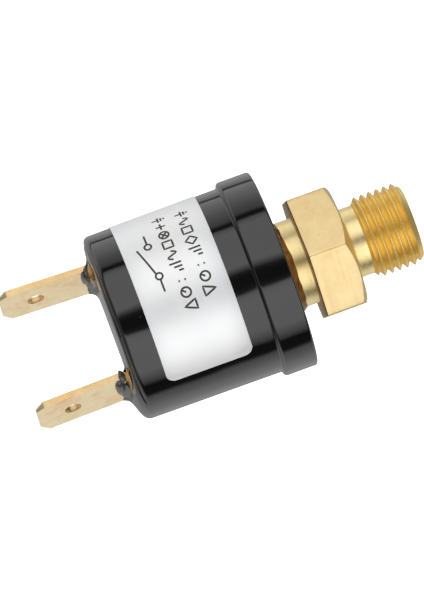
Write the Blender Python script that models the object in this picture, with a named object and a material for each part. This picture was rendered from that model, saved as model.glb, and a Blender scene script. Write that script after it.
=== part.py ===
"""Fixed-setting pressure switch: threaded brass port, moulded cup, two spade terminals.

A diaphragm over the port lifts a button and a snap disc. The disc pushes a ceramic pin,
and the pin lifts a contact blade off its fixed contact, so the circuit opens on rising
pressure. +Z runs from the port's end face, at z = 0, to the tips of the terminals.
"""
import math

import bmesh
import bpy
from mathutils import Matrix, Vector

MM = 0.001
FIT_GAP = 0.3 * MM                 # play left between nested pieces
FULL_TURN = 2.0 * math.pi

# Heights along the axis
RELIEF_LOW = 6.0 * MM
HEX_LOW = 7.85 * MM
HEX_HIGH = 13.05 * MM
HOUSING_LOW = 15.7 * MM
HOUSING_STEP = 19.7 * MM
HOUSING_HIGH = 36.1 * MM

# Port fitting
THREAD_CREST_RADIUS = 4.864 * MM   # G 1/8, 28 threads per inch
THREAD_DEPTH = 0.581 * MM
THREAD_PITCH = 0.907 * MM
THREAD_FLANK_RUN = THREAD_DEPTH * math.tan(math.radians(27.5))
THREAD_START_TURN = 0.5            # the thread's phase where the columns begin
THREAD_END_RADIUS = 4.12 * MM
THREAD_LEAD_SLOPE = 0.85
THREAD_MARGIN = 0.05 * MM          # plain band left at each end of the thread
RELIEF_RADIUS = 4.1 * MM
HEX_HALF_FLATS = 7.0 * MM
HEX_VERTEX_AZIMUTH = math.radians(7.5)
HEX_CHAMFER_RADIUS = 6.7 * MM
HEX_CHAMFER_SLOPE = math.tan(math.radians(30.0))
HEX_TOP_BREAK = 0.25 * MM
NECK_RADIUS = 5.1 * MM
BASE_FLANGE_RADIUS = 8.4 * MM
BASE_FLANGE_LOW = 17.9 * MM
BASE_FLANGE_HIGH = 19.9 * MM
BORE_RADIUS = 1.5 * MM
BORE_CHAMFER = 0.5 * MM
CHAMBER_RADIUS = 3.0 * MM
CHAMBER_DEPTH = 1.0 * MM
GROOVE_INNER = 5.7 * MM
GROOVE_OUTER = 7.5 * MM
GROOVE_DEPTH = 1.1 * MM
FITTING_COLUMNS = 36

# Housing, label and resin
FLANGE_RADIUS = 11.7 * MM
FLANGE_EDGE = 0.35 * MM
BODY_RADIUS_LOW = 11.1 * MM
BODY_RADIUS_HIGH = 11.0 * MM
STEP_FILLET = 0.3 * MM
RIM_ROUND = 0.7 * MM
CUP_RADIUS = 9.8 * MM
CUP_FLOOR = HOUSING_LOW + 1.3 * MM
LABEL_LOW = 22.5 * MM
LABEL_HIGH = 32.8 * MM
LABEL_START = math.radians(202.0)
LABEL_END = math.radians(358.0)
LABEL_CORNER = 1.0 * MM
LABEL_THICKNESS = 0.15 * MM
LABEL_CLEARANCE = 0.1 * MM
SEALANT_WIDTH = 1.2 * MM
SEALANT_HEIGHT = 1.1 * MM
POTTING_LOW = 33.0 * MM
POTTING_HIGH = 36.1 * MM

# Sensing stack
CAN_INNER = 8.7 * MM
CAN_OUTER = 9.4 * MM
CAN_LIP = 0.35 * MM
CAN_BASE = 0.3 * MM
CAN_LOW = CUP_FLOOR + FIT_GAP
CAN_HIGH = 30.9 * MM
O_RING_RADIUS = 6.6 * MM
O_RING_SECTION = 0.55 * MM
O_RING_CLEARANCE = 0.15 * MM
DIAPHRAGM_RADIUS = 8.3 * MM
DIAPHRAGM_LOW = 20.25 * MM
DIAPHRAGM_THICKNESS = 0.15 * MM
DIAPHRAGM_BULGE = 0.1 * MM
BUTTON_LOW = 20.65 * MM
BUTTON_HIGH = 21.1 * MM
BUTTON_CHAMFER = 0.15 * MM
SEAT_LOW = 20.7 * MM
SEAT_STEP = 21.1 * MM
SEAT_HIGH = 22.0 * MM
SEAT_BORE = 5.0 * MM
SEAT_POCKET = 6.3 * MM
DISC_RADIUS = 6.0 * MM
DISC_RIM_HIGH = 22.0 * MM
DISC_DISH = 0.4 * MM
DISC_THICKNESS = 0.2 * MM

# Switch mechanism
GUIDE_LOW = 22.3 * MM
GUIDE_HIGH = 23.9 * MM
STACK_RADIUS = 8.4 * MM
GUIDE_RELIEF_RADIUS = 5.4 * MM
GUIDE_RELIEF_DEPTH = 0.3 * MM
PIN_RADIUS = 1.0 * MM
PIN_LOW = 21.9 * MM
PIN_HIGH = 25.95 * MM
PIN_ROUND = 0.3 * MM
BASE_LOW = 24.2 * MM
BASE_HIGH = 31.2 * MM
BASE_SHOULDER = 30.2 * MM
BASE_NECK_RADIUS = 7.7 * MM
CAVITY_RADIUS = 6.9 * MM
CAVITY_HIGH = 28.6 * MM
BARRIER_HALF = 0.5 * MM
BARRIER_HIGH = 32.6 * MM
BLADE_LOW = 26.2 * MM
BLADE_THICKNESS = 0.2 * MM
BLADE_HALF_WIDTH = 1.3 * MM
BLADE_LEFT = -6.2 * MM
BLADE_RIGHT = 5.2 * MM
EYELET_X = 4.6 * MM
EYELET_SHANK = 0.7 * MM
EYELET_BORE = 0.35 * MM
EYELET_HEAD = 1.2 * MM
EYELET_HEAD_HEIGHT = 0.3 * MM
EYELET_HOLE = 0.95 * MM
EYELET_PLAY = 0.1 * MM
BOSS_RADIUS = 1.7 * MM
BOSS_LOW = BLADE_LOW + BLADE_THICKNESS + FIT_GAP
CONTACT_X = 4.0 * MM
CONTACT_HEAD = 1.0 * MM
CONTACT_FACE = 0.75 * MM
CONTACT_BEVEL = 0.15 * MM
CONTACT_SHANK = 0.4 * MM
CONTACT_HOLE = 0.65 * MM
CONTACT_GAP = 0.1 * MM
MOVING_CONTACT_LOW = 25.55 * MM
MOVING_CONTACT_SHOULDER = 26.0 * MM
FIXED_CONTACT_SHOULDER = 25.05 * MM
PLATE_THICKNESS = 0.3 * MM
PLATE_HALF_WIDTH = 1.4 * MM
PLATE_ARM_LOW = 24.55 * MM
PLATE_FOOT_HIGH = CAVITY_HIGH - FIT_GAP
PLATE_OUTER_X = 6.3 * MM
PLATE_ARM_X = 2.9 * MM
PLATE_FOOT_X = 3.1 * MM

# Spade terminals
TAB_X = 6.95 * MM
LEFT_TAB_TIP = 47.8 * MM
RIGHT_TAB_TIP = 47.4 * MM
LEFT_TAB_SPLAY = math.radians(0.9)
RIGHT_TAB_SPLAY = math.radians(2.2)
TAB_THICKNESS = 0.8 * MM
TAB_WIDTH = 6.3 * MM
TAB_CORNER = 1.0 * MM
TAB_TIP_BEVEL = 1.1 * MM
TAB_TIP_THICKNESS = 0.4 * MM
TAB_HOLE_RADIUS = 0.95 * MM
TAB_HOLE_DROP = 4.1 * MM
TAB_SLOT_PLAY = 0.25 * MM
FOOT_LOW = 31.5 * MM
FOOT_INNER_X = 3.2 * MM
FOOT_HALF_WIDTH = 2.5 * MM
FOOT_WIDENS = 32.8 * MM
FOOT_BEVEL = 0.3 * MM

ROUND_STEPS = 48
SMALL_STEPS = 24
SMOOTH_ANGLE = math.radians(35.0)

# name: base colour, metallic, roughness
MATERIALS = {
    "black_moulding": ((0.010, 0.010, 0.011), 0.0, 0.18),
    "potting_resin": ((0.012, 0.011, 0.011), 0.0, 0.08),
    "amber_resin": ((0.23, 0.10, 0.02), 0.0, 0.25),
    "brass": ((0.83, 0.62, 0.30), 1.0, 0.30),
    "foil": ((0.70, 0.71, 0.73), 1.0, 0.40),
    "aluminium": ((0.75, 0.76, 0.77), 1.0, 0.35),
    "rubber": ((0.02, 0.02, 0.02), 0.0, 0.70),
    "film": ((0.55, 0.27, 0.05), 0.0, 0.30),
    "steel": ((0.55, 0.56, 0.57), 1.0, 0.30),
    "phenolic": ((0.10, 0.035, 0.015), 0.0, 0.50),
    "ceramic": ((0.85, 0.84, 0.80), 0.0, 0.35),
    "spring_copper": ((0.80, 0.45, 0.25), 1.0, 0.30),
    "silver": ((0.85, 0.85, 0.83), 1.0, 0.20),
}


def clear_scene():
    for old in list(bpy.data.objects):
        bpy.data.objects.remove(old, do_unlink=True)


def own_material(node, finish):
    """A material of the node's own, from its finish."""
    colour, metallic, roughness = MATERIALS[finish]
    material = bpy.data.materials.new(node + "_" + finish)
    material.use_nodes = True
    shader = material.node_tree.nodes["Principled BSDF"]
    shader.inputs["Base Color"].default_value = (*colour, 1.0)
    shader.inputs["Metallic"].default_value = metallic
    shader.inputs["Roughness"].default_value = roughness
    material.diffuse_color = (*colour, 1.0)
    return material


def add_object(name, bm, finish, origin=(0.0, 0.0, 0.0), parent=None):
    """Turns a bmesh in world coordinates into an object whose origin is at the given place."""
    bmesh.ops.recalc_face_normals(bm, faces=bm.faces[:])
    bm.transform(Matrix.Translation(-Vector(origin)))
    mesh = bpy.data.meshes.new(name)
    bm.to_mesh(mesh)
    bm.free()
    mesh.shade_smooth()
    mesh.set_sharp_from_angle(angle=SMOOTH_ANGLE)
    obj = bpy.data.objects.new(name, mesh)
    bpy.context.collection.objects.link(obj)
    obj.location = origin
    if finish:
        mesh.materials.append(own_material(name, finish))
    if parent:
        obj.parent = parent
        obj.location = Vector(origin) - parent.location
    return obj


def add_empty(name, location):
    empty = bpy.data.objects.new(name, None)
    bpy.context.collection.objects.link(empty)
    empty.location = location
    return empty


def arc(centre_r, centre_z, radius, start_deg, end_deg, steps):
    """Points (radius, height) along an arc in the profile plane."""
    points = []
    for step in range(steps + 1):
        angle = math.radians(start_deg + (end_deg - start_deg) * step / steps)
        points.append((centre_r + radius * math.cos(angle), centre_z + radius * math.sin(angle)))
    return points


def turned_mesh(profile, steps=ROUND_STEPS, centre=(0.0, 0.0)):
    """Spins a closed (radius, height) outline once around an axis parallel to Z."""
    bm = bmesh.new()
    corners = [bm.verts.new((r, 0.0, z)) for r, z in profile]
    edges = []
    for index, corner in enumerate(corners):
        following = corners[(index + 1) % len(corners)]
        if corner.co.x > 0.0 or following.co.x > 0.0:
            edges.append(bm.edges.new((corner, following)))
    bmesh.ops.spin(bm, geom=corners + edges, cent=(0, 0, 0), axis=(0, 0, 1),
                   angle=FULL_TURN, steps=steps, use_merge=True)
    bmesh.ops.remove_doubles(bm, verts=bm.verts[:], dist=1e-7)
    bm.transform(Matrix.Translation((centre[0], centre[1], 0.0)))
    return bm


def prism_mesh(outline, direction, low, high):
    """Extrudes a flat outline along one axis. The outline gives the other two coordinates."""
    bm = bmesh.new()
    corners = []
    for first, second in outline:
        place = {"X": (low, first, second), "Y": (first, low, second), "Z": (first, second, low)}
        corners.append(bm.verts.new(place[direction]))
    face = bm.faces.new(corners)
    grown = bmesh.ops.extrude_face_region(bm, geom=[face])
    moved = [item for item in grown["geom"] if isinstance(item, bmesh.types.BMVert)]
    step = {"X": (high - low, 0, 0), "Y": (0, high - low, 0), "Z": (0, 0, high - low)}
    bmesh.ops.translate(bm, verts=moved, vec=step[direction])
    return bm


def rectangle(low_a, high_a, low_b, high_b):
    return [(low_a, low_b), (high_a, low_b), (high_a, high_b), (low_a, high_b)]


def cylinder_profile(radius, low, high):
    return [(0.0, high), (radius, high), (radius, low), (0.0, low)]


def apply_cut(obj, tool_name, tool_mesh, operation="DIFFERENCE"):
    """Adds a Boolean whose tool stays in the file as a hidden wire object."""
    tool = add_object(tool_name, tool_mesh, None)
    tool.hide_render = True
    tool.display_type = "WIRE"
    if obj.parent:
        tool.parent = obj.parent
        tool.location = tool.location - obj.parent.location
    modifier = obj.modifiers.new(tool_name, "BOOLEAN")
    modifier.operation = operation
    modifier.solver = "EXACT"
    modifier.object = tool


# ---------------------------------------------------------------- port fitting

def thread_radius(row):
    """Radius of one of the four corners that repeat in each pitch of the thread."""
    root = THREAD_CREST_RADIUS - THREAD_DEPTH
    return (root, root, THREAD_CREST_RADIUS, THREAD_CREST_RADIUS)[row % 4]


def thread_rise(row):
    """Height of a thread corner above the start of its pitch at azimuth zero."""
    flat = (THREAD_PITCH - 2.0 * THREAD_FLANK_RUN) / 2.0
    within = (0.0, flat, flat + THREAD_FLANK_RUN, 2.0 * flat + THREAD_FLANK_RUN)[row % 4]
    return THREAD_PITCH * (row // 4) + within


def thread_rows(turn):
    """The thread corners in one vertical column, as {row: (radius, height)}."""
    margin = THREAD_MARGIN
    rows = {}
    for row in range(-8, int(4 * RELIEF_LOW / THREAD_PITCH) + 5):
        height = thread_rise(row) + THREAD_PITCH * turn
        if margin < height < RELIEF_LOW - margin:
            lead_in = THREAD_END_RADIUS + THREAD_LEAD_SLOPE * height
            run_out = RELIEF_RADIUS + (RELIEF_LOW - height)
            rows[row] = (min(thread_radius(row), lead_in, run_out), height)
    return rows


def hex_radius(azimuth):
    """Distance from the axis to the hexagon's side."""
    sixth = math.radians(60.0)
    within = (azimuth - HEX_VERTEX_AZIMUTH) % sixth
    return HEX_HALF_FLATS / math.cos(within - sixth / 2.0)


def fitting_upper_profile(azimuth):
    """Outline above the thread in one column, from the relief up and back down the bore."""
    side = hex_radius(azimuth)
    chamfer_high = HEX_LOW + (side - HEX_CHAMFER_RADIUS) * HEX_CHAMFER_SLOPE
    top = BASE_FLANGE_HIGH
    return [
        (RELIEF_RADIUS, RELIEF_LOW), (RELIEF_RADIUS, HEX_LOW), (HEX_CHAMFER_RADIUS, HEX_LOW),
        (side, chamfer_high), (side, HEX_HIGH - HEX_TOP_BREAK), (side - HEX_TOP_BREAK, HEX_HIGH),
        (NECK_RADIUS, HEX_HIGH), (NECK_RADIUS, BASE_FLANGE_LOW),
        (BASE_FLANGE_RADIUS, BASE_FLANGE_LOW), (BASE_FLANGE_RADIUS, top),
        (GROOVE_OUTER, top), (GROOVE_OUTER, top - GROOVE_DEPTH),
        (GROOVE_INNER, top - GROOVE_DEPTH), (GROOVE_INNER, top),
        (CHAMBER_RADIUS, top), (CHAMBER_RADIUS, top - CHAMBER_DEPTH),
        (BORE_RADIUS, top - CHAMBER_DEPTH), (BORE_RADIUS, BORE_CHAMFER),
        (BORE_RADIUS + BORE_CHAMFER, 0.0), (THREAD_END_RADIUS, 0.0),
    ]


def fitting_mesh():
    """Lays the fitting's outline in columns round the axis and joins neighbouring columns."""
    bm = bmesh.new()
    columns = []
    for index in range(FITTING_COLUMNS):
        turn = index / FITTING_COLUMNS
        azimuth = HEX_VERTEX_AZIMUTH + FULL_TURN * turn
        heading = (math.cos(azimuth), math.sin(azimuth))
        fixed = []
        for radius, height in fitting_upper_profile(azimuth):
            fixed.append(bm.verts.new((radius * heading[0], radius * heading[1], height)))
        rows = {}
        for row, (radius, height) in thread_rows(turn + THREAD_START_TURN).items():
            rows[row] = bm.verts.new((radius * heading[0], radius * heading[1], height))
        columns.append((fixed, rows))
    for index, (fixed, rows) in enumerate(columns):
        next_fixed, next_rows = columns[(index + 1) % FITTING_COLUMNS]
        if index + 1 == FITTING_COLUMNS:
            # One full turn later, each thread corner has climbed by one pitch
            next_rows = {row - 4: vert for row, vert in next_rows.items()}
        for point in range(len(fixed) - 1):
            bm.faces.new((fixed[point], next_fixed[point],
                          next_fixed[point + 1], fixed[point + 1]))
        shared = sorted(set(rows) & set(next_rows))
        for row, following in zip(shared, shared[1:]):
            bm.faces.new((rows[row], next_rows[row], next_rows[following], rows[following]))
        born = [next_rows[row] for row in sorted(next_rows) if row < shared[0]]
        ended = [rows[row] for row in sorted(rows, reverse=True) if row > shared[-1]]
        bm.faces.new([fixed[-1], next_fixed[-1], *born, next_rows[shared[0]], rows[shared[0]]])
        bm.faces.new([rows[shared[-1]], next_rows[shared[-1]], next_fixed[0], fixed[0], *ended])
    return bm


def make_port_fitting():
    add_object("pressure_port_fitting", fitting_mesh(), "brass")


# ---------------------------------------------------------------- housing

def make_outer_housing():
    edge = FLANGE_EDGE
    step = STEP_FILLET
    profile = [(NECK_RADIUS + FIT_GAP, CUP_FLOOR), (NECK_RADIUS + FIT_GAP, HOUSING_LOW)]
    profile += arc(FLANGE_RADIUS - edge, HOUSING_LOW + edge, edge, -90, 0, 3)
    profile += arc(FLANGE_RADIUS - edge, HOUSING_STEP - edge, edge, 0, 90, 3)
    profile += arc(BODY_RADIUS_LOW + step, HOUSING_STEP + step, step, 270, 180, 2)
    profile += arc(BODY_RADIUS_HIGH - RIM_ROUND, HOUSING_HIGH - RIM_ROUND, RIM_ROUND, 0, 90, 3)
    profile += [(CUP_RADIUS, HOUSING_HIGH), (CUP_RADIUS, CUP_FLOOR)]
    add_object("outer_housing", turned_mesh(profile, 60), "black_moulding")


def body_radius(height):
    """Outer radius of the housing's drafted body."""
    share = (height - HOUSING_STEP) / (HOUSING_HIGH - HOUSING_STEP)
    return BODY_RADIUS_LOW + (BODY_RADIUS_HIGH - BODY_RADIUS_LOW) * share


def make_label():
    """A foil band on the housing, bent round from a flat sheet with rounded corners."""
    bm = bmesh.new()
    steps = 32
    inner_rows = []
    outer_rows = []
    span = (LABEL_END - LABEL_START) * BODY_RADIUS_LOW
    for step in range(steps + 1):
        along = span * step / steps
        from_end = min(along, span - along, LABEL_CORNER)
        inset = LABEL_CORNER - math.sqrt(LABEL_CORNER ** 2 - (LABEL_CORNER - from_end) ** 2)
        azimuth = LABEL_START + along / BODY_RADIUS_LOW
        for rows, lift in ((inner_rows, LABEL_CLEARANCE),
                           (outer_rows, LABEL_CLEARANCE + LABEL_THICKNESS)):
            pair = []
            for height in (LABEL_LOW + inset, LABEL_HIGH - inset):
                radius = body_radius(height) + lift
                pair.append(bm.verts.new((radius * math.cos(azimuth),
                                          radius * math.sin(azimuth), height)))
            rows.append(pair)
    for step in range(steps):
        for rows in (inner_rows, outer_rows):
            bm.faces.new((rows[step][0], rows[step + 1][0], rows[step + 1][1], rows[step][1]))
        for end in (0, 1):
            bm.faces.new((inner_rows[step][end], inner_rows[step + 1][end],
                          outer_rows[step + 1][end], outer_rows[step][end]))
    for step in (0, steps):
        bm.faces.new((inner_rows[step][0], inner_rows[step][1],
                      outer_rows[step][1], outer_rows[step][0]))
    add_object("label", bm, "foil")


def make_neck_sealant():
    """The bead of resin in the corner between the neck and the housing's end."""
    inner = NECK_RADIUS + FIT_GAP
    high = HOUSING_LOW - FIT_GAP / 2.0
    middle = (inner + 0.35 * SEALANT_WIDTH, high - 0.45 * SEALANT_HEIGHT)
    profile = [(inner, high), (inner + SEALANT_WIDTH, high), middle,
               (inner, high - SEALANT_HEIGHT)]
    add_object("neck_sealant", turned_mesh(profile, 36), "amber_resin")


def make_potting_seal():
    profile = cylinder_profile(CUP_RADIUS - FIT_GAP, POTTING_LOW, POTTING_HIGH)
    potting = add_object("potting_seal", turned_mesh(profile), "potting_resin")
    half_thick = TAB_THICKNESS / 2.0 + TAB_SLOT_PLAY
    half_wide = TAB_WIDTH / 2.0 + TAB_SLOT_PLAY
    for side, label in ((-1.0, "left"), (1.0, "right")):
        outline = rectangle(side * TAB_X - half_thick, side * TAB_X + half_thick,
                            -half_wide, half_wide)
        slot = prism_mesh(outline, "Z", POTTING_LOW - MM, POTTING_HIGH + MM)
        apply_cut(potting, label + "_tab_slot", slot)


# ---------------------------------------------------------------- sensing stack

def make_crimp_can():
    """Aluminium sleeve rolled in at both ends over the fitting and the switch base."""
    profile = [
        (NECK_RADIUS + 2.0 * FIT_GAP, CAN_LOW), (CAN_OUTER - CAN_LIP, CAN_LOW),
        (CAN_OUTER, CAN_LOW + CAN_LIP), (CAN_OUTER, CAN_HIGH - CAN_LIP),
        (CAN_OUTER - CAN_LIP, CAN_HIGH), (BASE_NECK_RADIUS + FIT_GAP, CAN_HIGH),
        (BASE_NECK_RADIUS + FIT_GAP, CAN_HIGH - CAN_LIP), (CAN_INNER, CAN_HIGH - CAN_LIP),
        (CAN_INNER, CAN_LOW + CAN_BASE),
        (NECK_RADIUS + 2.0 * FIT_GAP, CAN_LOW + CAN_BASE),
    ]
    add_object("crimp_can", turned_mesh(profile), "aluminium")


def make_port_o_ring():
    height = BASE_FLANGE_HIGH - GROOVE_DEPTH + O_RING_SECTION + O_RING_CLEARANCE
    section = arc(O_RING_RADIUS, height, O_RING_SECTION, 0, 324, 9)
    add_object("port_o_ring", turned_mesh(section, 36), "rubber")


def make_diaphragm():
    flat_radius = 0.55 * DIAPHRAGM_RADIUS
    low = DIAPHRAGM_LOW
    high = DIAPHRAGM_LOW + DIAPHRAGM_THICKNESS
    profile = [
        (0.0, high + DIAPHRAGM_BULGE), (0.3 * flat_radius, high + DIAPHRAGM_BULGE),
        (flat_radius, high), (DIAPHRAGM_RADIUS, high), (DIAPHRAGM_RADIUS, low),
        (flat_radius, low), (0.3 * flat_radius, low + DIAPHRAGM_BULGE),
        (0.0, low + DIAPHRAGM_BULGE),
    ]
    add_object("diaphragm", turned_mesh(profile, 36), "film")


def make_pressure_button():
    radius = SEAT_BORE - FIT_GAP
    chamfer = BUTTON_CHAMFER
    profile = [(0.0, BUTTON_HIGH), (radius - chamfer, BUTTON_HIGH),
               (radius, BUTTON_HIGH - chamfer), (radius, BUTTON_LOW + chamfer),
               (radius - chamfer, BUTTON_LOW), (0.0, BUTTON_LOW)]
    add_object("pressure_button", turned_mesh(profile, 36), "steel")


def make_disc_seat_ring():
    profile = [(SEAT_BORE, SEAT_LOW), (STACK_RADIUS, SEAT_LOW), (STACK_RADIUS, SEAT_HIGH),
               (SEAT_POCKET, SEAT_HIGH), (SEAT_POCKET, SEAT_STEP), (SEAT_BORE, SEAT_STEP)]
    add_object("disc_seat_ring", turned_mesh(profile, 36), "steel")


def make_snap_disc():
    """A shallow dish, low in the middle, whose rim bears up against the pin guide."""
    rings = 4
    upper = []
    for ring in range(rings + 1):
        share = ring / rings
        sag = DISC_DISH * (1.0 - share * share)
        upper.append((DISC_RADIUS * share, DISC_RIM_HIGH - sag))
    lower = [(r, z - DISC_THICKNESS) for r, z in reversed(upper)]
    add_object("snap_disc", turned_mesh(upper + lower, 36), "steel")


def make_pin_guide():
    bore = PIN_RADIUS + FIT_GAP
    inner = GUIDE_LOW + GUIDE_RELIEF_DEPTH
    profile = [(bore, inner), (GUIDE_RELIEF_RADIUS, inner), (GUIDE_RELIEF_RADIUS, GUIDE_LOW),
               (STACK_RADIUS, GUIDE_LOW), (STACK_RADIUS, GUIDE_HIGH), (bore, GUIDE_HIGH)]
    add_object("pin_guide", turned_mesh(profile, 36), "phenolic")


# ---------------------------------------------------------------- switch mechanism

def make_push_pin():
    profile = [(0.0, PIN_HIGH)]
    profile += arc(PIN_RADIUS - PIN_ROUND, PIN_HIGH - PIN_ROUND, PIN_ROUND, 90, 0, 2)
    profile += arc(PIN_RADIUS - PIN_ROUND, PIN_LOW + PIN_ROUND, PIN_ROUND, 0, -90, 2)
    profile += [(0.0, PIN_LOW)]
    add_object("push_pin", turned_mesh(profile, SMALL_STEPS), "ceramic", (0.0, 0.0, PIN_LOW))


def make_switch_base():
    """Moulded block with the contact chamber underneath and a barrier on top."""
    profile = [(CAVITY_RADIUS, BASE_LOW), (STACK_RADIUS, BASE_LOW),
               (STACK_RADIUS, BASE_SHOULDER), (BASE_NECK_RADIUS, BASE_SHOULDER),
               (BASE_NECK_RADIUS, BASE_HIGH), (0.0, BASE_HIGH),
               (0.0, CAVITY_HIGH), (CAVITY_RADIUS, CAVITY_HIGH)]
    base = add_object("switch_base", turned_mesh(profile), "phenolic")
    boss = turned_mesh(cylinder_profile(BOSS_RADIUS, BOSS_LOW, CAVITY_HIGH + MM),
                       SMALL_STEPS, (-EYELET_X, 0.0))
    apply_cut(base, "blade_boss", boss, "UNION")
    reach = 0.8 * BASE_NECK_RADIUS
    barrier = prism_mesh(rectangle(-BARRIER_HALF, BARRIER_HALF, -reach, reach), "Z",
                         BASE_HIGH - MM, BARRIER_HIGH)
    apply_cut(base, "terminal_barrier", barrier, "UNION")
    for side, label in ((-1.0, "left"), (1.0, "right")):
        hole = turned_mesh(cylinder_profile(EYELET_HOLE, BOSS_LOW - MM, BASE_HIGH + MM),
                           SMALL_STEPS, (side * EYELET_X, 0.0))
        apply_cut(base, label + "_base_hole", hole)


def blade_outline():
    """Plan view of the blade: a strip with rounded ends."""
    half = BLADE_HALF_WIDTH
    outline = []
    for centre, start in ((BLADE_RIGHT - half, -90), (BLADE_LEFT + half, 90)):
        for step in range(9):
            angle = math.radians(start + 180.0 * step / 8)
            outline.append((centre + half * math.cos(angle), half * math.sin(angle)))
    return outline


def make_contact_blade():
    """Spring blade and its contact, hung from an empty on the bending line."""
    bend = add_empty("blade_bend_line", (-EYELET_X, 0.0, BLADE_LOW + BLADE_THICKNESS / 2.0))
    mesh = prism_mesh(blade_outline(), "Z", BLADE_LOW, BLADE_LOW + BLADE_THICKNESS)
    blade = add_object("contact_blade", mesh, "spring_copper", bend.location, bend)
    for x, radius, label in ((-EYELET_X, EYELET_HOLE, "blade_fixing_hole"),
                             (CONTACT_X, CONTACT_HOLE, "blade_contact_hole")):
        hole = turned_mesh(cylinder_profile(radius, BLADE_LOW - MM, BLADE_LOW + MM),
                           SMALL_STEPS, (x, 0.0))
        apply_cut(blade, label, hole)
    high = BLADE_LOW + BLADE_THICKNESS
    profile = [(0.0, high), (CONTACT_SHANK, high), (CONTACT_SHANK, MOVING_CONTACT_SHOULDER),
               (CONTACT_HEAD, MOVING_CONTACT_SHOULDER),
               (CONTACT_HEAD, MOVING_CONTACT_LOW + CONTACT_BEVEL),
               (CONTACT_FACE, MOVING_CONTACT_LOW), (0.0, MOVING_CONTACT_LOW)]
    contact = turned_mesh(profile, SMALL_STEPS, (CONTACT_X, 0.0))
    add_object("moving_contact", contact, "silver", bend.location, bend)


def make_fixed_contact_plate():
    """Z-shaped plate: its foot hangs from the base and its arm passes under the blade."""
    thick = PLATE_THICKNESS
    arm_high = PLATE_ARM_LOW + thick
    foot_low = PLATE_FOOT_HIGH - thick
    web_x = PLATE_OUTER_X - thick
    outline = [(PLATE_ARM_X, PLATE_ARM_LOW), (PLATE_OUTER_X, PLATE_ARM_LOW),
               (PLATE_OUTER_X, PLATE_FOOT_HIGH), (PLATE_FOOT_X, PLATE_FOOT_HIGH),
               (PLATE_FOOT_X, foot_low), (web_x, foot_low), (web_x, arm_high),
               (PLATE_ARM_X, arm_high)]
    mesh = prism_mesh(outline, "Y", -PLATE_HALF_WIDTH, PLATE_HALF_WIDTH)
    plate = add_object("fixed_contact_plate", mesh, "brass")
    for x, radius, centre, label in ((CONTACT_X, CONTACT_HOLE, PLATE_ARM_LOW, "arm_hole"),
                                     (EYELET_X, EYELET_HOLE, foot_low, "foot_hole")):
        hole = turned_mesh(cylinder_profile(radius, centre - MM, centre + MM),
                           SMALL_STEPS, (x, 0.0))
        apply_cut(plate, label, hole)


def make_fixed_contact():
    face = MOVING_CONTACT_LOW - CONTACT_GAP
    low = PLATE_ARM_LOW
    profile = [(0.0, face), (CONTACT_FACE, face), (CONTACT_HEAD, face - CONTACT_BEVEL),
               (CONTACT_HEAD, FIXED_CONTACT_SHOULDER), (CONTACT_SHANK, FIXED_CONTACT_SHOULDER),
               (CONTACT_SHANK, low), (0.0, low)]
    mesh = turned_mesh(profile, SMALL_STEPS, (CONTACT_X, 0.0))
    add_object("fixed_contact", mesh, "silver")


def make_eyelet(name, side, lower_face):
    """Tubular rivet that clamps a terminal's foot to the metal under the base."""
    low = lower_face - FIT_GAP + EYELET_PLAY
    high = FOOT_LOW + TAB_THICKNESS + EYELET_PLAY
    head = EYELET_HEAD_HEIGHT
    profile = [(EYELET_BORE, low - head), (EYELET_HEAD, low - head), (EYELET_HEAD, low),
               (EYELET_SHANK, low), (EYELET_SHANK, high), (EYELET_HEAD, high),
               (EYELET_HEAD, high + head), (EYELET_BORE, high + head)]
    mesh = turned_mesh(profile, SMALL_STEPS, (side * EYELET_X, 0.0))
    add_object(name, mesh, "brass")


# ---------------------------------------------------------------- terminals

def terminal_side_profile(side, tip_high, splay):
    """Outline in the XZ plane: foot, a tab that leans out above the housing, thinned tip."""
    outer = TAB_X + TAB_THICKNESS / 2.0
    inner = TAB_X - TAB_THICKNESS / 2.0
    half_tip = TAB_TIP_THICKNESS / 2.0
    shoulder = tip_high - TAB_TIP_BEVEL
    foot_high = FOOT_LOW + TAB_THICKNESS
    outline = [(FOOT_INNER_X, FOOT_LOW), (outer - FOOT_BEVEL, FOOT_LOW),
               (outer, FOOT_LOW + FOOT_BEVEL), (outer, HOUSING_HIGH), (outer, shoulder),
               (TAB_X + half_tip, tip_high), (TAB_X - half_tip, tip_high),
               (inner, shoulder), (inner, HOUSING_HIGH), (inner, foot_high),
               (FOOT_INNER_X, foot_high)]
    leaning = []
    for x, z in outline:
        lean = math.tan(splay) * max(0.0, z - HOUSING_HIGH)
        leaning.append((side * (x + lean), z))
    return leaning


def terminal_front_profile(tip_high):
    """Outline in the YZ plane: narrow foot, full-width tab and chamfered tip."""
    half = TAB_WIDTH / 2.0
    low = FOOT_LOW - MM
    high = tip_high + MM
    tip = half - TAB_CORNER - MM
    return [(-FOOT_HALF_WIDTH, low), (FOOT_HALF_WIDTH, low), (FOOT_HALF_WIDTH, FOOT_WIDENS),
            (half, FOOT_WIDENS), (half, tip_high - TAB_CORNER), (tip, high), (-tip, high),
            (-half, tip_high - TAB_CORNER), (-half, FOOT_WIDENS), (-FOOT_HALF_WIDTH, FOOT_WIDENS)]


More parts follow.
